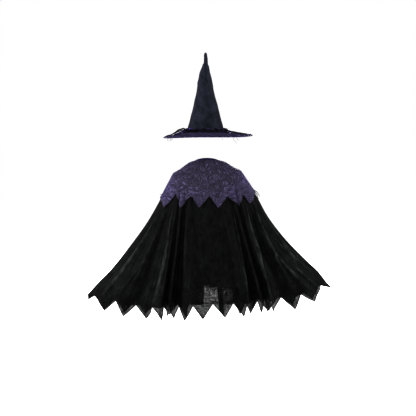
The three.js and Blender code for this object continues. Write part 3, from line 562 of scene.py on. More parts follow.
print("materials so far:", len(bpy.data.materials))

# %% [markdown]
# ### Black gauze
# The cape is a loose crinkled gauze. At the hem one layer of it lets a little light through; higher up it is woven
# closer and reads as black. The map named cover holds that closeness, and the gaps of the weave vary it thread by
# thread. Along the top of a crease a painted highlight is laid into the colour, which the map named ridge brings in.

# %% Gauze
# The third colour is a painted highlight laid along the crests of the creases.
BLACK, MOTTLE_AND_SHEEN_BLACK, RIDGE_HIGHLIGHT = (0.002, 0.0021, 0.0021), (0.0078, 0.0082, 0.0082), (0.034, 0.0355, 0.0355)
SHEER, CLOSE = 0.775, 0.985


def gauze_finish(name, alpha=None):
    """Crinkled gauze. Where no alpha is given, the cover map and the gaps of the weave set it."""
    finish, tree, shader = new_finish(
        name, Roughness=0.55, Specular_IOR_Level=0.05, Sheen_Weight=0.01, Sheen_Roughness=0.35,
        Sheen_Tint=(0.8, 0.85, 0.9, 1), Alpha=alpha or 1,
    )
    weave = calc(tree, "ADD", threads(tree, 900, 60), threads(tree, 60, 900))
    crinkle, blotch = threads(tree, 150, 34), threads(tree, 26, 17)
    tone = calc(tree, "MULTIPLY", crinkle, blotch)
    # The lighter of the two tones is partly a random mottle and partly a painted highlight on the tops of the crinkle,
    # since the same noise raises the bump.
    colour = two_tone(tree, tone, BLACK, MOTTLE_AND_SHEEN_BLACK, 0.16, 0.42)
    # Painted highlight: the ridge map lays a lighter colour on the crests of the creases.
    lit = calc(tree, "MULTIPLY", mesh_map(tree, "ridge"), spread(tree, tone, 0.12, 0.36))
    tree.links.new(blend(tree, lit, colour, (*RIDGE_HIGHLIGHT, 1)), shader.inputs["Base Color"])
    bump(tree, shader, (blotch, 0.008), (crinkle, 0.003), (weave, 0.0003))
    if alpha is None:
        cover = mesh_map(tree, "cover")
        slubs = calc(tree, "ADD", threads(tree, 150, 26), threads(tree, 26, 150))
        gaps = spread(tree, calc(tree, "ADD", weave, slubs), 1.6, 2.4, -0.17, 0.17)
        thin = spread(tree, cover, 0, 1, 1, 0.06)
        opacity = spread(tree, cover, 0, 1, SHEER, CLOSE, clamp=False)
        varied = calc(tree, "MULTIPLY_ADD", gaps, thin, opacity, use_clamp=True)
        tree.links.new(varied, shader.inputs["Alpha"])
    return finish


gauze = gauze_finish("black_gauze")
gauze_edge = gauze_finish("black_gauze_doubled", 1)
gauze_seam = gauze_finish("black_gauze_seam", 0.3)
print("light through one wall of the sheer hem:", round((1 - SHEER) ** 2, 3))

# %% [markdown]
# ### Crushed velvet
# The pile was pressed in all directions. Its short bright arcs are painted highlights and its darker hollows painted
# shade: one noise bends the coordinates of a second one, which draws such arcs. The map named violet is a painted
# violet sheen, stronger towards the hem and at the two shoulders.

# %% Velvet
VELVET_HOLLOW_SHADE, VELVET_PLAIN, VELVET_ARC_HIGHLIGHT = (0.036, 0.034, 0.05), (0.057, 0.054, 0.081), (0.115, 0.108, 0.17)
# The tint runs from GREYER where there is no painted sheen to MORE_VIOLET under the painted violet sheen.
GREYER, MORE_VIOLET = (0.63, 0.61, 0.54), (0.88, 0.75, 1.08)


def velvet_finish():
    """Bent noise for the crushing and its painted shade, rings drawn in it for the painted highlight arcs, and the
    violet map for a painted violet sheen.
    """
    finish, tree, shader = new_finish(
        "crushed_velvet", Roughness=0.62, Specular_IOR_Level=0.1, Sheen_Weight=0.12, Sheen_Roughness=0.3,
        Sheen_Tint=(0.42, 0.33, 0.95, 1),
    )
    flat = {"noise_dimensions": "2D"}
    uv = put(tree, "UVMap", {"uv_map": "cloth"}).outputs["UV"]
    bend = put(tree, "TexNoise", flat, {"Vector": uv, "Scale": 30, "Detail": 1}).outputs["Color"]
    push = put(tree, "VectorMath", {"operation": "MULTIPLY_ADD"}, {0: bend, 1: (0.05, 0.05, 0), 2: uv}).outputs[0]
    crush = put(tree, "TexNoise", flat, {"Vector": push, "Scale": 58, "Detail": 3, "Distortion": 1.8}).outputs["Fac"]
    arcs = put(tree, "TexWave", {"wave_type": "RINGS", "rings_direction": "Z"}, {
        "Vector": push, "Scale": 20, "Distortion": 8, "Detail": 2, "Detail Scale": 2.2
    }).outputs["Fac"]
    # Painted shade in the hollows of the crushing, and painted highlights along the arcs.
    crush_shaded = two_tone(tree, crush, VELVET_HOLLOW_SHADE, VELVET_PLAIN, 0.36, 0.62)
    share = spread(tree, calc(tree, "MULTIPLY", arcs, crush), 0.32, 0.72)
    # The violet map tints a painted violet sheen over the colour.
    tint = two_tone(tree, mesh_map(tree, "violet"), GREYER, MORE_VIOLET, 0, 1)
    sheen_tinted = blend(tree, 1.0, blend(tree, share, crush_shaded, (*VELVET_ARC_HIGHLIGHT, 1)), tint, "MULTIPLY")
    tree.links.new(sheen_tinted, shader.inputs["Base Color"])
    bump(tree, shader, (crush, 0.006), (arcs, 0.0016), (threads(tree, 1400, 1400), 0.0003))
    return finish


velvet = velvet_finish()
print("nodes in the velvet:", len(velvet.node_tree.nodes))

# %% [markdown]
# ### Satin tape, hat cloth and torn rags
# The tape round the neck and the brim is purple satin with a fine rib. The hat is a stiffened blue-black cloth. The
# band round it is torn from black gauze and purple satin.

# %% The other finishes


def woven_finish(name, dark, light, across, along, depth, blotches=30, **values):
    """A plain cloth: two tones in soft blotches, and a bump of warp and weft threads."""
    finish, tree, shader = new_finish(name, **values)
    weave = calc(tree, "ADD", threads(tree, across, along), threads(tree, along, across))
    blotch = threads(tree, blotches, blotches * 0.7)
    tone = calc(tree, "MULTIPLY_ADD", threads(tree, across * 0.3, along * 1.5), 0.35, blotch)
    tree.links.new(two_tone(tree, tone, dark, light, 0.5, 0.85), shader.inputs["Base Color"])
    bump(tree, shader, (blotch, 0.0022), (weave, depth))
    return finish


tape = woven_finish(
    "purple_satin", (0.009, 0.0062, 0.022), (0.022, 0.014, 0.052), 1600, 200, 0.0002, 60,
    Roughness=0.5, Specular_IOR_Level=0.08, Sheen_Weight=0.03,
)
hat_cloth = woven_finish(
    "hat_cloth", (0.0115, 0.0128, 0.018), (0.022, 0.0243, 0.034), 700, 120, 0.00035, 36,
    Roughness=0.85, Specular_IOR_Level=0.06, Sheen_Weight=0.02,
)
brim_paint = woven_finish(
    "brim_cloth", (0.026, 0.0225, 0.041), (0.05, 0.044, 0.079), 700, 700, 0.0002, 36,
    Roughness=0.95, Specular_IOR_Level=0.0,
)
rag_black = woven_finish(
    "torn_gauze", (0.0085, 0.0078, 0.011), (0.033, 0.031, 0.04), 500, 60, 0.0006, 80,
    Roughness=0.95, Specular_IOR_Level=0.0,
)
rag_purple = woven_finish(
    "torn_satin", (0.014, 0.0105, 0.034), (0.062, 0.047, 0.145), 900, 90, 0.0004, 70,
    Roughness=0.6, Specular_IOR_Level=0.05, Sheen_Weight=0.02,
)
thread_paint = woven_finish(
    "loose_thread", (0.02, 0.02, 0.022), (0.07, 0.07, 0.075), 300, 300, 0.0001, 200, Roughness=0.9
)
print("finishes:", len(bpy.data.materials))

# %% [markdown]
# ## The five panels of the cape
# Each panel is a gore, narrow at the neck and wide at the hem, with pointed dags. Its columns go round by h, and
# its rows go down by s and on into the dags. At a seam the edges are turned in, so that the cloth dips there.

# %% Cut the gauze panels
COLUMNS_PER_POINT, GAUZE_WALL, POINT_LENGTH, RIDGE_FULL, SHEER_LINE = 24, 0.7, 72, 8.5, -608
SEAM_DEPTH, SEAM_REACH, BELOW_HEM = 1.6, 0.09, 2.1
# The hem's sheer part is clear round the middle of the back and keeps this share of its cover out on the wings.
PATCH_MIDDLE, PATCH_REACH, WING_COVER = 8.3, 2.2, 0.9
# The right front edge is looser still, so that it only halves the light through the back behind it.
EDGE_COVER, EDGE_START = 1.6, 22.4
YOKE_PLACES, SKIRT_PLACES = np.linspace(0, 1, 15), 1 + np.linspace(0, 1, 56)[1:]
BODY_PLACES, DAG_PLACES = np.concatenate([YOKE_PLACES, SKIRT_PLACES]), np.linspace(0, 1, 8)[1:]
PANELS = {
    "cape_front_left": (LEFT_EDGE, LEFT_FOLD), "cape_side_left": (LEFT_FOLD, 7.5), "cape_back": (7.5, 10.5),
    "cape_side_right": (10.5, RIGHT_FOLD), "cape_front_right": (RIGHT_FOLD, RIGHT_EDGE),
}
SEAMS = np.array([LEFT_FOLD, 7.5, 10.5, RIGHT_FOLD])


def columns_between(start, end, per_point=COLUMNS_PER_POINT):
    """Even columns over a stretch of h."""
    return np.linspace(start, end, round((end - start) * per_point) + 1)


def dag_length(h):
    """Full at a whole number of h and nothing half way between two of them, in a straight line."""
    return np.maximum(POINT_LENGTH * reach(h) * (1 - 2 * np.abs(h - np.round(h))), 0.4)


def seam_dip(h):
    """How far the cloth turns in beside a seam: its full depth at the seam, gone a tenth of a point away."""
    away = np.min(np.abs(h[..., None] - SEAMS), -1) / SEAM_REACH
    return -SEAM_DEPTH * np.exp(-(away**2))


def gauze_grid(h, lift):
    """Rows of points down the cloth for the columns h, at one lift, with the dags hung below the notch line."""
    columns, rows = np.meshgrid(h, BODY_PLACES)
    body = cape_cloth(columns, rows, lift + seam_dip(columns) * smooth((rows - 0.3) / 0.4))
    down, across = DAG_PLACES[:, None] * dag_length(h), np.broadcast_to(h, (len(DAG_PLACES), len(h)))
    return np.concatenate([body, hung_from(body[-1], across, down)])


def cover_map(h, s):
    """How close the weave is: 1 down to the sheer line, which is level and a little uneven. Below it all cover
    goes in the middle of the back, part of it on the wings, and most at the loose right front edge."""
    line = SHEER_LINE + 4 * np.sin(1.7 * h) + 9 * np.exp(-(((h - 8.25) / 0.14) ** 2))
    from_edge = np.minimum(h - LEFT_EDGE, RIGHT_EDGE - h)
    away = np.where(is_back(h), np.abs(h - PATCH_MIDDLE) - PATCH_REACH, from_edge - 1)
    body = 1 - WING_COVER * smooth(away / 1.5) + EDGE_COVER * smooth((h - EDGE_START) / 0.5)
    return 1 - smooth((s - share_down(h, line)) / 0.012) * np.where(s > 2, 1, body)


def ridge_highlight_map(h, s):
    """Where the painted highlight lies: the height of the creases as a share of a full ridge, to the power 1.6, fading
    at the hem.
    """
    s = np.minimum(s, 2)
    return np.clip(crease_height(h, s) / RIDGE_FULL, 0, 1) ** 1.6 * smooth((2.02 - s) / 0.2)


def gauze_panel(node, start, end):
    """One gore of the cape, with its middle surface, which the hems follow."""
    h = columns_between(start, end)
    outer, inner = gauze_grid(h, GAUZE_WALL / 2), gauze_grid(h, -GAUZE_WALL / 2)
    middle = (outer + inner) / 2
    s = np.concatenate([BODY_PLACES, np.full(len(DAG_PLACES), BELOW_HEM)])[:, None]
    piece = new_wall(
        "gauze" + node[4:], outer, inner, gauze, "gauze", cloth_uv(middle, len(YOKE_PLACES) + 40), node,
        # The ridge map says where the painted crest highlight goes.
        cover=cover_map(h, s), ridge=ridge_highlight_map(h, s),
    )
    hem = lengths_along(middle[-len(DAG_PLACES) - 1], 0)[-1]
    print(piece.name, "hem", round(float(hem), 3), "area", grid_area(middle))
    return piece, middle


panels = {node: gauze_panel(node, *ends) for node, ends in PANELS.items()}

# %% [markdown]
# ## Rolled hems, the dag border's seam and the front facing
# The edge of each dag is rolled and stitched, a thin dark line on the sheer cloth. The dags are cut in a border
# whose seam allowance is a narrow double strip inside the notches. The right front edge is faced with a strip of
# doubled gauze that hangs on past the hem.

# %% Roll the hems
HEM_RADIUS, VELVET_HEM_RADIUS, HEM_SIDES, HEM_REFERENCE = 1.6 * MM, 1.2 * MM, 6, (0.05, 1, 0.02)


def rolled_edge(name, path, radius=HEM_RADIUS, paint=gauze_edge):
    """A tube along an edge of the cloth."""
    points = tube_points(path, radius, HEM_SIDES, HEM_REFERENCE)
    length = np.broadcast_to(lengths_along(path, 0)[:, None], points.shape[:2])
    turn = np.broadcast_to(np.arange(HEM_SIDES) * 0.0014, points.shape[:2])
    faces = capped_tube_faces(len(path), HEM_SIDES)
    return new_piece(name, points, faces, paint, np.stack([turn, length], -1), crisp=80)


for node, (piece, middle) in panels.items():
    path = middle[-1]
    if node == "cape_front_left":
        path = np.concatenate([middle[:-1, 0], path])
    if node == "cape_front_right":
        path = np.concatenate([path, middle[-2::-1, -1]])
    rolled_edge("rolled_hem" + node[4:], path)

# %% Sew the border's seam allowance and the facing
BORDER_HEIGHT, BORDER_LIFT, STRIP_WALL = 13, -1.3, 1.0
FACING_WIDTH, FACING_TAIL, FACING_LIFT, TAIL_NARROWING = 0.5, 64, -2.5, 0.85


def doubled_strip(name, h, s, lift, paint=gauze_edge, tail=(), node=None):
    """A strip of doubled gauze laid on the cape's form for columns h and rows s, at a lift, with an optional tail
    hanging down by the lengths in tail and narrowing to its edge."""

    def face(offset):
        body = cape_cloth(*np.meshgrid(h, s), lift + offset)
        if not len(tail):
            return body
        down = np.asarray(tail)[:, None]
        narrow = TAIL_NARROWING * smooth((down / down[-1] - 0.45) / 0.55)
        top = mix(body[-1], body[-1, :1], narrow[..., None])
        return np.concatenate([body, hung_from(top, np.broadcast_to(h, top.shape[:2]), down + 0 * h)])

    outer, inner = face(STRIP_WALL / 2), face(-STRIP_WALL / 2)
    uv = np.stack([lengths_along(outer, 1), lengths_along(outer, 0)], -1)
    return new_wall(name, outer, inner, paint, "gauze", uv, node)


for node, ends in PANELS.items():
    h = columns_between(*ends)
    top = 2 - (BORDER_HEIGHT / (shoulder_z(h) - hem_z(h))).mean()
    doubled_strip("border_seam" + node[4:], h, np.linspace(top, 1.999, 4), BORDER_LIFT, gauze_seam)
facing = doubled_strip(
    "front_facing", np.linspace(RIGHT_EDGE - FACING_WIDTH, RIGHT_EDGE, 9), BODY_PLACES, FACING_LIFT,
    tail=FACING_TAIL * np.linspace(0, 1, 14)[1:], node="facing_right",
)

# %% [markdown]
# ## The capelet
# The short cape of crushed velvet follows the cape three millimetres further out, so it takes the same folds. Its
# hem runs in straight lines between notches and tips. The crushing is also in the mesh, as low dimples.

# %% Cut the capelet
CAPELET_LIFT, CAPELET_OUTER, CAPELET_INNER, CAPELET_TOP, CAPELET_COLUMNS, CAPELET_ROWS = 3.0, 1.4, 0.4, 0.02, 26, 44
CAPELET_HEM = np.array([
    (-7, -196), (-6.2, -232), (-5.4, -178), (-4.6, -236), (-3.8, -180), (-2.9, -234), (-2, -180), (-1.1, -230),
    (0, -182), (1.76, -232), (3.48, -164), (5.38, -228), (7.1, -176), (7.45, -176), (8.14, -228), (9.14, -170),
    (9.62, -228), (10.85, -177), (11.1, -177), (12.86, -222), (14.4, -167), (15.12, -212), (15.9, -197),
    (17, -150), (18.1, -214), (19, -172), (19.9, -230), (20.8, -178), (21.6, -234), (22.4, -180), (23.2, -232),
    (24, -196),
])
# Painted violet sheen, patch by patch: h, s, how far along h, how far along s, how much.
SHEEN_PATCHES = np.array([
    (0.7, 1.12, 0.9, 0.09, 0.3), (16.3, 1.03, 0.8, 0.07, 0.4), (9.3, 1.17, 0.3, 0.03, 0.5),
    (12.6, 1.12, 1.2, 0.06, 0.15), (-2.4, 1.08, 1.0, 0.1, 0.9), (19.6, 1.1, 0.9, 0.08, 0.9),
])
# Dimples of the crushed pile: waves per metre across and down, phase, depth in millimetres.
DIMPLES = np.array([
    (31, 17, 0.3, 0.3), (-23, 41, 2.1, 0.28), (57, -33, 4.0, 0.2), (71, 64, 1.2, 0.14), (-88, 52, 5.3, 0.12),
    (39, 95, 3.3, 0.12),
])


def crushed(u, v):
    """Sum of slanted waves, each bent by the one before it, in millimetres, about half a millimetre."""
    total, bend = np.zeros_like(u), np.zeros_like(u)
    for across, down, phase, depth in DIMPLES:
        wave = np.sin(2 * np.pi * (across * u + down * v) + phase + 1.6 * bend)
        total, bend = total + depth * wave, wave
    return total + 0.5


def violet_sheen_share(h, s):
    """Painted violet sheen: more towards the hem, and a soft round patch at each row of the sheen patch table."""
    total = 0.24 + 0.2 * smooth((s - 0.9) / 0.35)
    for at_h, at_s, wide, tall, much in SHEEN_PATCHES:
        total = total + much * np.exp(-(((h - at_h) / wide) ** 2) - ((s - at_s) / tall) ** 2)
    return np.clip(total, 0, 1)


def capelet_panel(node, start, end):
    """Rows run from the neck to the cut hem; columns include each notch and tip of the table."""
    corners = CAPELET_HEM[(CAPELET_HEM[:, 0] > start) & (CAPELET_HEM[:, 0] < end), 0]
    h = np.unique(np.concatenate([columns_between(start, end, CAPELET_COLUMNS), corners]))
    bottom = share_down(h, np.interp(h, *CAPELET_HEM.T))
    s = mix(CAPELET_TOP, bottom, np.linspace(0, 1, CAPELET_ROWS)[:, None])
    columns = np.broadcast_to(h, s.shape)
    uv = cloth_uv(cape_cloth(columns, s), CAPELET_ROWS // 2)
    relief = crushed(uv[..., 0] + start, uv[..., 1]) * smooth((s - CAPELET_TOP) / 0.1)
    outer, inner = (cape_cloth(columns, s, CAPELET_LIFT + face + relief) for face in (CAPELET_OUTER, CAPELET_INNER))
    name, middle = "velvet" + node[7:], (outer + inner) / 2
    # The violet map is a painted violet sheen.
    piece = new_wall(name, outer, inner, velvet, "velvet", uv, node, violet=violet_sheen_share(columns, s))
    print(name, "wide and long", uv.max((0, 1)).round(3), "area", grid_area(middle))
    return piece, middle


CAPELET_PANELS = {
    "capelet_front_left": (LEFT_EDGE, LEFT_FOLD), "capelet_back": (LEFT_FOLD, RIGHT_FOLD),
    "capelet_front_right": (RIGHT_FOLD, RIGHT_EDGE),
}
velvets = {node: capelet_panel(node, *ends) for node, ends in CAPELET_PANELS.items()}
velvet_hems = {
    node: rolled_edge("velvet_hem" + node[7:], middle[-1], VELVET_HEM_RADIUS, velvet)
    for node, (piece, middle) in velvets.items()
}

# %% [markdown]
# ## Neck tape and tab
# A folded satin tape holds both capes together round the neck. Its section straddles the cut edges and comes down
# further on the outside than on the inside. A plain tab joins its two ends in front.

# %% Bind the neck
# The tape's section: how far out from the neck edge and how far up, in millimetres.
TAPE_SECTION = np.array([
    (-2.6, -3), (-3.2, 2), (-3.2, 6), (-2, 9.6), (0, 11), (2.8, 9.6), (5.2, 6), (7.4, 1.5), (9.6, -3.5), (9, -4.4),
    (6.4, 0.5), (4.2, 4.8), (1.8, 8.3), (0, 9.2), (-1.2, 8.2), (-2.2, 5.6), (-2.2, 2), (-1.9, -3.4),
])
TAB_HALF_WIDTH, TAB_HALF_HEIGHT, TAB_FRONT, TAB_REAR, TAB_PINCH = 17, 4.4, 0.05, 1.9, 0.5


def neck_tape():
    """The section carried round the neck edge, with a fine ripple."""
    h = columns_between(LEFT_EDGE, RIGHT_EDGE)[::2]
    edge = neck_edge(h)
    out = unit(edge * (1 / NECK_HALF_WIDTH, 1 / NECK_HALF_DEPTH, 0))
    middle = edge + out * CAPELET_LIFT / 2
    ripple = 0.35 * np.sin(9 * h) + 0.25 * np.sin(17 * h + 1)
    ring = middle[:, None] + out[:, None] * TAPE_SECTION[:, :1] + (0, 0, 1) * TAPE_SECTION[:, 1:]
    ring = (ring + out[:, None] * ripple[:, None, None]) * MM
    uv = np.stack(np.broadcast_arrays(lengths_along(middle * MM, 0)[:, None], TAPE_SECTION[:, 1] * MM), -1)
    faces = capped_tube_faces(len(h), len(TAPE_SECTION))
    return new_piece("neck_tape", ring, faces, tape, uv, "neck_binding", crisp=60)


def neck_tab():
    """A short folded tape across the gap: its two faces come together towards the upper and lower edge with the
    cube of the height, and its corners are cut off."""
    columns, rows = np.meshgrid(
        np.linspace(-TAB_HALF_WIDTH, TAB_HALF_WIDTH, 25), np.linspace(-TAB_HALF_HEIGHT, TAB_HALF_HEIGHT, 7)
    )
    pinch = TAB_PINCH * (np.abs(rows) / TAB_HALF_HEIGHT) ** 3
    rows = rows * (1 - 0.22 * np.clip((np.abs(columns) - 14) / 3, 0, 1) ** 2)
    (_, _, bottom), (_, front, _) = np.array(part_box("neck_tab")) / MM
    outer, inner = (
        np.stack([columns, y, rows + bottom + TAB_HALF_HEIGHT], -1) * MM
        for y in (front - TAB_FRONT - pinch, front - TAB_REAR + pinch)
    )
    uv = np.stack([columns, rows], -1) * MM
    return new_wall("neck_tab_tape", outer, inner, tape, "binding", uv, "neck_tab")


neck_piece, tab_piece = neck_tape(), neck_tab()
print("neck tape is", round(neck_piece.dimensions.x, 3), "m across")

# %% [markdown]
# ## The hat
# The crown is a tall cone of stiffened cloth whose point has slumped. Tables give its radius and the wander of its
# middle by height. Soft dents and fine wrinkles are taken off the radius, most of them near the tip.

# %% Form the crown
HAT_X, HEAD_RADIUS, BRIM_RADIUS, CROWN_WALL = -3, 92, 218, 2.2
# Height, radius and how far the middle wanders sideways, in millimetres.
CROWN = np.array([
    (137, 92, 0), (153, 89.6, -3), (168, 86, -4), (197, 77.5, -4), (224, 71.5, -4), (250, 65, -4), (286, 56.5, -4.5),
    (323, 47.5, -5), (350, 42, -5), (374, 38, -5.5), (385, 35.8, -6), (404, 31.5, -7), (424, 27, -7),
    (444, 22.5, -5.5), (464, 16, -5), (471, 13.6, -5.5), (478, 10.4, -3), (502, 8.4, -3), (518, 7, -4), (526, 4.6, -4),
    (530, 0, -4),
])
# Dents: height, direction in degrees from +X, size up the crown, depth.
DENTS = np.array([
    (380, 180, 12, -1.5), (330, -20, 40, 2.5), (250, -115, 46, 3), (215, 70, 40, 3), (300, 140, 50, 2.5),
    (405, -75, 16, 1.8), (352, -110, 14, 1.2), (436, -40, 12, 1.6), (452, -130, 9, 1.4), (490, -90, 7, 1.2),
])
# Slanting wrinkles: how often round, how often per metre up, phase, depth.
WRINKLES = np.array([(2, 9, 0.4, 0.5), (3, -14, 2.2, 0.4), (5, 22, 4.1, 0.25), (7, -31, 1.0, 0.16)])
CROWN_TURNS = np.linspace(0, 2 * np.pi, 128, endpoint=False)
CROWN_HEIGHTS = np.concatenate([np.linspace(137, 470, 96), np.linspace(472, 528, 24), [529.4, 530]])
LINING_HEIGHTS = np.linspace(137, 462, 64)
crown_radius, crown_off = (curve_through(CROWN, 0, k) for k in (1, 2))


def crown_surface(heights, inset):
    """Radius from the table, less the dents (a bell up the crown times a cosine cubed round it) and wrinkles."""
    turn, z = np.meshgrid(CROWN_TURNS, heights)
    taken = np.zeros_like(z)
    for height, toward, tall, depth in DENTS:
        aside = np.maximum(0, np.cos(turn - np.radians(toward)))
        taken += depth * np.exp(-(((z - height) / tall) ** 2)) * aside**3
    crumple = 0.6 + 0.9 * smooth((z - 330) / 130)
    for round_it, up, phase, depth in WRINKLES:
        taken += depth * crumple * np.sin(round_it * turn + up * z * MM * 2 * np.pi + phase)
    radius = np.maximum(crown_radius(z) - taken * smooth((crown_radius(z) - 1) / 14) - inset, 0)
    points = np.stack([HAT_X + crown_off(z) + radius * np.cos(turn), radius * np.sin(turn), z], -1) * MM
    return points, np.stack(np.broadcast_arrays(turn * 0.06, z * MM), -1)


def hat_crown():
    """The outer cone and the lining, whose last ring is drawn to a point, joined round the foot."""
    (outer, outer_uv), (inner, inner_uv) = crown_surface(CROWN_HEIGHTS, 0), crown_surface(LINING_HEIGHTS, CROWN_WALL)
    inner[-1] = inner[-1].mean(0)
    rows, columns = outer.shape[:2]
    foot = grid_faces(2, columns, around=True)
    foot[:, 2:] += (rows - 1) * columns
    lining = grid_faces(len(inner), columns, around=True, start=rows * columns)
    faces = np.concatenate([grid_faces(rows, columns, around=True), lining[:, ::-1], foot[:, ::-1]])
    points, uv = np.concatenate([outer, inner]), np.concatenate([outer_uv, inner_uv])
    return new_piece("hat_cone", points, faces, hat_cloth, uv, "hat_crown", weld=True)


crown = hat_crown()
print("crown stands", round(crown.dimensions.z, 3), "m tall")

# %% [markdown]
# ### The brim
# A stiffened ring droops from the head opening and waves a little, more so towards its edge. Rows of stitching,
# seen as shallow rings, keep its two cloths together, and purple tape binds its edge.

# %% Form the brim
BRIM_INNER_HEIGHT, BRIM_SHIFT, BRIM_DROOP, BRIM_WALL, BRIM_GAP = 139, 8, 22, 3, 0.6
LEFT_LOW, RIGHT_HIGH, BACK_LOW, RIPPLE, RIPPLE_TURN = 3, 6, 4, 2.5, 0.6
STITCH_SPACING, STITCH_DEPTH, STITCH_WIDTH = 18, 0.35, 1.3
TAPE_MIDDLE, TAPE_HALF_WIDTH, TAPE_HALF_HEIGHT, TAPE_SIDES = BRIM_RADIUS + 1.5, 2.1, 2.8, 12
BRIM_TURNS = np.linspace(0, 2 * np.pi, 240, endpoint=False)
BRIM_DISTANCES = np.linspace(HEAD_RADIUS + BRIM_GAP, BRIM_RADIUS, 64)


def across_brim(distance):
    """0 at the head opening and 1 at the edge."""
    return np.clip((distance - HEAD_RADIUS) / (BRIM_RADIUS - HEAD_RADIUS), 0, 1)


def brim_height(turn, distance):
    """Inner height, less a droop, plus a tilt and a ripple that grow with the share across the brim."""
    share = across_brim(distance)
    side = np.where(np.cos(turn) > 0, RIGHT_HIGH, LEFT_LOW)
    tilt = side * np.cos(turn) + BACK_LOW * np.sin(turn)
    ripple = RIPPLE * np.sin(3 * turn + RIPPLE_TURN)
    return BRIM_INNER_HEIGHT - BRIM_DROOP * share**0.9 + (tilt + ripple) * share**1.5


def brim_surface(turn, distance, lift):
    """A point of the brim at a lift above its middle. Rows of stitching press the surface in as shallow bells."""
    from_row = (distance - HEAD_RADIUS) % STITCH_SPACING - STITCH_SPACING / 2
    stitched = STITCH_DEPTH * np.exp(-((from_row / STITCH_WIDTH) ** 2))
    flat = [
        HAT_X + distance * np.cos(turn) + BRIM_SHIFT * across_brim(distance),
        distance * np.sin(turn),
        brim_height(turn, distance) + lift - np.sign(lift) * stitched,
    ]
    return np.stack(flat, -1) * MM


def hat_brim():
    """One closed loop of rows: outwards over the top, and back in under the brim."""
    lift = np.repeat([BRIM_WALL / 2, -BRIM_WALL / 2], len(BRIM_DISTANCES))
    turn, distance = np.meshgrid(BRIM_TURNS, np.concatenate([BRIM_DISTANCES, BRIM_DISTANCES[::-1]]))
    points = brim_surface(turn, distance, lift[:, None] + 0 * turn)
    faces = ring_faces(*turn.shape)
    return new_piece("brim_cloth", points, faces, brim_paint, points[..., :2], "hat_brim")


def brim_tape():
    """A rounded loop carried round the brim's edge with a slight pucker."""
    turn, ring = np.meshgrid(BRIM_TURNS, np.arange(TAPE_SIDES) / TAPE_SIDES * 2 * np.pi, indexing="ij")
    pucker = 0.25 * np.sin(37 * turn) + 0.15 * np.sin(61 * turn + 1)
    distance = TAPE_MIDDLE + (TAPE_HALF_WIDTH + pucker) * np.cos(ring)
    z = brim_height(turn, BRIM_RADIUS + 0 * ring) + (TAPE_HALF_HEIGHT + pucker) * np.sin(ring)
    points = np.stack([HAT_X + distance * np.cos(turn) + BRIM_SHIFT, distance * np.sin(turn), z], -1) * MM
    uv = np.stack([turn * BRIM_RADIUS * MM, ring * 3 * MM], -1)
    return new_piece("brim_tape", points, ring_faces(*turn.shape), tape, uv, "hat_brim_binding")


brim, brim_edge = hat_brim(), brim_tape()
print("brim is", round(brim.dimensions.x, 3), "m across")

# %% [markdown]
# ### The rag band
# Two torn strips, one of black gauze and one of purple satin, are twisted round each other and tied round the foot
# of the crown. Each is a tube along a coil with a lumpy section. Their loose ends lie out over the brim, ragged at
# both edges, and one of them arches up from it.

# %% Twist the band
BAND_HEIGHT, BAND_LIFT, BAND_TWIST, BAND_STRAND, BAND_TURNS, BAND_SIDES = 148.6, 9.6, 4.6, 4.2, 9, 12
BAND_RADIUS = crown_radius(BAND_HEIGHT) + BAND_LIFT
# Where round the hat the purple strand shows at the back: two directions in degrees, and how wide.
PURPLE_SHOWS, PURPLE_WIDE = (-140, -30), 13
RAGS = {"black": rag_black, "purple": rag_purple}


def purple_share(turn):
    """1 where the purple strand comes to the front of the twist: at two given directions at the back, in waves round
    the rest.
    """
    degrees = (np.degrees(turn) + 180) % 360 - 180
    shown = sum(np.exp(-(((degrees - middle) / PURPLE_WIDE) ** 2)) for middle in PURPLE_SHOWS)
    rest = smooth((np.abs(degrees + 87) - 75) / 20) * (0.5 + 0.5 * np.sin(3 * turn))
    return np.clip(shown + rest, 0, 1)


def band_strand(colour, phase, thinnest):
    """The coil's middle goes round the crown; its radius and height swing by the twist. The section is lumpy, and
    the strand that comes to the front is the thicker one there."""
    turn = np.linspace(0, 2 * np.pi, 432, endpoint=False)
    front = purple_share(turn) if colour == "purple" else 1 - purple_share(turn)
    wind = BAND_TURNS * turn + phase + 0.9 * np.sin(2 * turn + 1) + 0.5 * np.sin(5 * turn)
    radius = BAND_RADIUS + BAND_TWIST * np.cos(wind) * mix(0.4, 1, front) - 5 * (1 - front)
    x = HAT_X + crown_off(BAND_HEIGHT) + radius * np.cos(turn)
    path = np.stack([x, radius * np.sin(turn), BAND_HEIGHT + BAND_TWIST * np.sin(wind)], -1)
    along = unit(np.roll(path, -1, 0) - np.roll(path, 1, 0))
    side = unit(np.cross((0.0, 0, 1), along))
    up = np.cross(along, side)
    turns, rings = np.meshgrid(turn, np.arange(BAND_SIDES) / BAND_SIDES * 2 * np.pi, indexing="ij")
    lumps = 1 + 0.2 * np.sin(2 * rings + 14 * turns) + 0.13 * np.sin(5 * rings - 31 * turns)
    lumps = (lumps + 0.1 * np.sin(3 * rings + 67 * turns + 2)) * mix(thinnest, 1.2, front)[:, None]
    around = np.cos(rings)[..., None] * side[:, None] + np.sin(rings)[..., None] * up[:, None]
    points = (path[:, None] + BAND_STRAND * (lumps - 0.03)[..., None] * around) * MM
    uv, faces = np.stack([turns * 0.1, rings * 0.0042], -1), ring_faces(*turns.shape)
    return new_piece("rag_band_" + colour, points, faces, RAGS[colour], uv, "hat_band_" + colour)


band_black, band_purple = band_strand("black", 0, 0.85), band_strand("purple", np.pi, 0.5)
print("band is", round(band_black.dimensions.x, 3), "m across")

# %% Lay the loose ends
END_STOPS, END_ACROSS, END_HALF_WALL, END_ROLL = 90, 9, 0.4, np.radians(62)
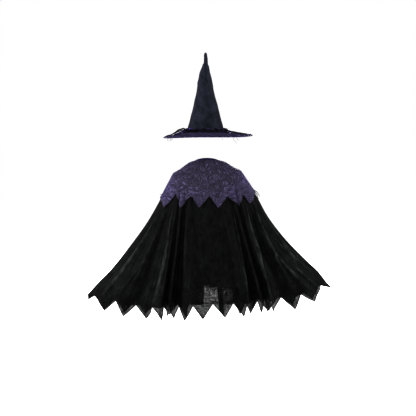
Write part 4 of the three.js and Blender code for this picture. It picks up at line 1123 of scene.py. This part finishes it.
# Each end: its width, then its path from the band out over the brim as x, y and height over it, in millimetres.
LOOSE_ENDS = {
    "black_a": (8, [
        (-107.4, -37, 13.5), (-118, -42, 21), (-136, -44, 19), (-158, -40, 9), (-180, -30, 2), (-202, -20, 1)]),
    "black_b": (6, [(-110.2, -30, 11), (-124, -24, 13), (-144, -16, 10), (-168, -6, 3), (-190, 4, 1)]),
    "purple_a": (13, [(-89.8, -70.4, 13), (-104, -76, 12), (-122, -76, 8.5), (-142, -70, 4), (-160, -62, 1.2)]),
    "black_c": (11, [(103.3, 0, 8), (116, -10, 5), (140, -20, 3.4), (170, -24, 2.4), (198, -20, 2)]),
    "purple_b": (19, [(97.8, -38, 10), (107, -58, 6.5), (113, -82, 4.5), (113, -106, 3.4), (110, -130, 3.2)]),
}


def loose_end(key, width, places):
    """A ribbon along a smooth path through the places, stood on its edge by a roll, ragged along both edges and
    narrower towards its free end."""
    places = np.array(places)
    step = np.concatenate([[0], np.cumsum(np.linalg.norm(np.diff(places, axis=0), axis=1))])
    t = np.linspace(0, step[-1], END_STOPS)
    run = t / step[-1]
    x, y, height = (curve_through(np.column_stack([step, places]), 0, k)(t) for k in (1, 2, 3))
    over = brim_height(np.arctan2(y, x - HAT_X), np.hypot(x - HAT_X, y)) + BRIM_WALL / 2
    path = np.stack([x, y, over + height + 0.7], -1)
    along = unit(np.gradient(path, axis=0))
    level = unit(np.cross((0.0, 0, 1), along))
    above = np.cross(along, level)
    stood = np.sin(np.pi * np.clip(run, 0.09, 1)) ** 0.4 * np.where(places[0, 0] < 0, 1, -1)
    roll = END_ROLL * stood[:, None]
    side, up = np.cos(roll) * level + np.sin(roll) * above, np.cos(roll) * above - np.sin(roll) * level
    share = np.linspace(-1, 1, END_ACROSS)
    ragged = 1 + 0.16 * np.sin(0.9 * t)[:, None] * share + 0.1 * np.sin(2.3 * t + 2)[:, None]
    half = width / 2 * mix(1, 0.5, run)[:, None] * ragged * share
    curl = 0.5 * np.sin(0.21 * t)[:, None] * share**2
    face = path[:, None] + half[..., None] * side[:, None] + curl[..., None] * up[:, None]
    outer, inner = ((face + offset * up[:, None]) * MM for offset in (END_HALF_WALL, -END_HALF_WALL))
    uv = np.stack(np.broadcast_arrays(half * MM, t[:, None] * MM), -1)
    colour = key.split("_")[0]
    return new_wall("rag_end_" + key, outer, inner, RAGS[colour], "rag_" + colour, uv, "hat_strip_" + key)


ends = {key: loose_end(key, *facts) for key, facts in LOOSE_ENDS.items()}
print("loose ends:", len(ends))

# %% [markdown]
# ## Loose threads
# A few threads hang from the capelet, from the hem and from the brim. Each is a tube of four sides along a curve,
# fixed at its root in the cloth, and all those of one place are a single mesh.

# %% Pull the threads
THREAD_STOPS, THREAD_SIDES, UNDER_TAPE = 14, 4, 1.0


def strands(name, paths, radius, paint):
    """Tubes along paths of a few places each, in millimetres. They taper to half their thickness at the free end."""
    shares = np.linspace(0, 1, THREAD_STOPS)
    tables = [np.column_stack([np.linspace(0, 1, len(places)), places]) for places in paths]
    path = np.array([[curve_through(table, 0, k)(shares) for k in (1, 2, 3)] for table in tables])
    path = path.transpose(0, 2, 1) * MM
    width = np.broadcast_to(radius * MM * mix(1, 0.5, shares), path.shape[:2])
    faces = capped_tube_faces(THREAD_STOPS, THREAD_SIDES)
    faces = faces + np.arange(len(paths))[:, None, None] * THREAD_STOPS * THREAD_SIDES
    points = tube_points(path, width, THREAD_SIDES, (0.3, 1, 0.2))
    around, down = np.arange(THREAD_SIDES) * 0.0007, shares[:, None] * 0.05
    uv = np.stack([np.broadcast_to(part, points.shape[:3]) for part in (around, down)], -1)
    return new_piece(name, points, faces.reshape(-1, 4), paint, uv, crisp=50)


def from_cape(lift, rows):
    """Paths that start in the cloth at a column h and a height z, and go on by steps in millimetres."""
    paths = []
    for h, z, steps in rows:
        root = cape_cloth(np.array([float(h)]), share_down(np.array([float(h)]), z), lift)[0] / MM
        paths.append(np.vstack([root, root + np.cumsum(steps, axis=0)]))
    return paths


def from_brim(rows):
    """Paths that start under the brim's tape in one direction, and go on by steps in millimetres."""
    paths = []
    for degrees, steps in rows:
        edge = brim_surface(np.radians(degrees), BRIM_RADIUS - UNDER_TAPE, -BRIM_WALL / 2) / MM
        paths.append(np.vstack([edge, edge + np.cumsum(steps, axis=0)]))
    return paths


shoulder_threads = strands("shoulder_threads", from_cape(3.6, [
    (16.9, -152, [(14, 2, -8), (10, 1, -12), (6, 0, -12)]), (16.8, -161, [(12, 3, -14), (3, 1, -14), (6, 0, -7)]),
    (16.9, -147, [(9, 1, -11), (5, 0, -13)]), (0.1, -172, [(-6, 1, -3), (-5, 1, -1)]),
    (0.1, -181, [(-5, 1, -6), (-3, 1, -4)]), (-1.5, -190, [(-2, 3, -8), (2, 2, -8)]),
    (20, -214, [(3, 3, -8), (-2, 2, -9)]),
]), 1.8, gauze_edge)
hem_threads = strands("hem_threads", from_cape(0, [
    (5.45, -690, [(4, -3, -22), (-4, 1, -24), (3, 1, -24), (-1, 0, -16)]),
    (12.5, -664, [(2, -2, -20), (3, -1, -18), (-2, 0, -13)]), (0.06, -674, [(-6, 0, -7), (-2, 0, -10), (3, 0, -6)]),
    (0.2, -675, [(-12, 0, -10), (-12, 0, -5), (-6, 0, -4)]), (-4.4, -742, [(2, 3, -20), (-3, 1, -20)]),
    (20.6, -714, [(-2, 3, -18), (4, 1, -20)]),
]), 0.9, gauze_edge)
brim_threads = strands("brim_threads", from_brim([
    (-152, [(-5, -2, -9), (6, -3, -6), (10, -3, 2), (6, -1, 8)]), (-148, [(2, -2, -8), (8, -2, -1), (3, 0, 6)]),
    (-54, [(-6, -3, -9), (3, -2, -9), (9, -1, -7), (5, 0, -6)]), (-51, [(4, -2, -10), (8, -1, -8)]),
    (70, [(3, 4, -9), (-3, 1, -12)]), (150, [(-4, 3, -8), (3, 1, -9)]),
]), 0.6, thread_paint)

# %% [markdown]
# ### Frayed ends and flaps
# Short ends stand out of the rag band, in a tuft at each side, and torn flaps lie from it over the brim. One seeded
# generator places them, so they are the same on each run.

# %% Fray the band
FRAYS, TUFTS, FLAPS, KNOTS, KNOT_SPREAD = 170, 44, 240, (-164, -14), 9
FRAY_LIFT, FRAY_SAG, UP = 3, 1.5, np.array([0, 0, 1])
# A torn flap at its root, its middle and its end: how far out, how far aside in radians, height over the brim.
FLAP_OUT, FLAP_ASIDE, FLAP_HEIGHT = np.array([2, 9, 18]), np.array([0, 0.07, 0.16]), np.array([3.0, 1.9, 1.4])
chance = np.random.default_rng(11)


def frayed_paths():
    """Short ends out of the band, along it one way or the other. The first ones are the tufts at the two knots."""
    turn = chance.uniform(0, 2 * np.pi, FRAYS)
    knot = np.array(KNOTS)[np.arange(TUFTS) % 2]
    turn[:TUFTS] = np.radians(knot + chance.normal(0, KNOT_SPREAD, TUFTS))
    way = chance.choice([-1, 1], FRAYS)[:, None]
    length = chance.uniform(8, 21, FRAYS)[:, None]
    rise = chance.uniform(-0.75, 0.4, FRAYS)
    rise[:TUFTS] = chance.uniform(-0.8, -0.45, TUFTS)
    out = np.stack([np.cos(turn), np.sin(turn), 0 * turn], -1)
    along = np.cross(UP, out) * way
    root = out * (BAND_RADIUS + FRAY_LIFT) + (HAT_X + crown_off(BAND_HEIGHT), 0, BAND_HEIGHT + 2)
    step = length * (along + 0.25 * out + rise[:, None] * UP)
    return np.stack([root, root + step * 0.45 + UP, root + step - FRAY_SAG * UP], 1)


def flap_paths():
    """Torn flaps that lie from the band out over the brim."""
    turn = chance.uniform(0, 2 * np.pi, FLAPS)[:, None]
    distance = BAND_RADIUS + FLAP_OUT * chance.uniform(0.5, 1.3, (FLAPS, 1))
    aside = FLAP_ASIDE * chance.uniform(-1, 1, (FLAPS, 1))
    return brim_surface(turn + aside, distance, BRIM_WALL / 2 + FLAP_HEIGHT + 0 * distance) / MM


band_frays = strands("band_frays", np.concatenate([frayed_paths(), flap_paths()]), 1.3, rag_black)
print("frayed ends:", FRAYS, "flaps:", FLAPS)
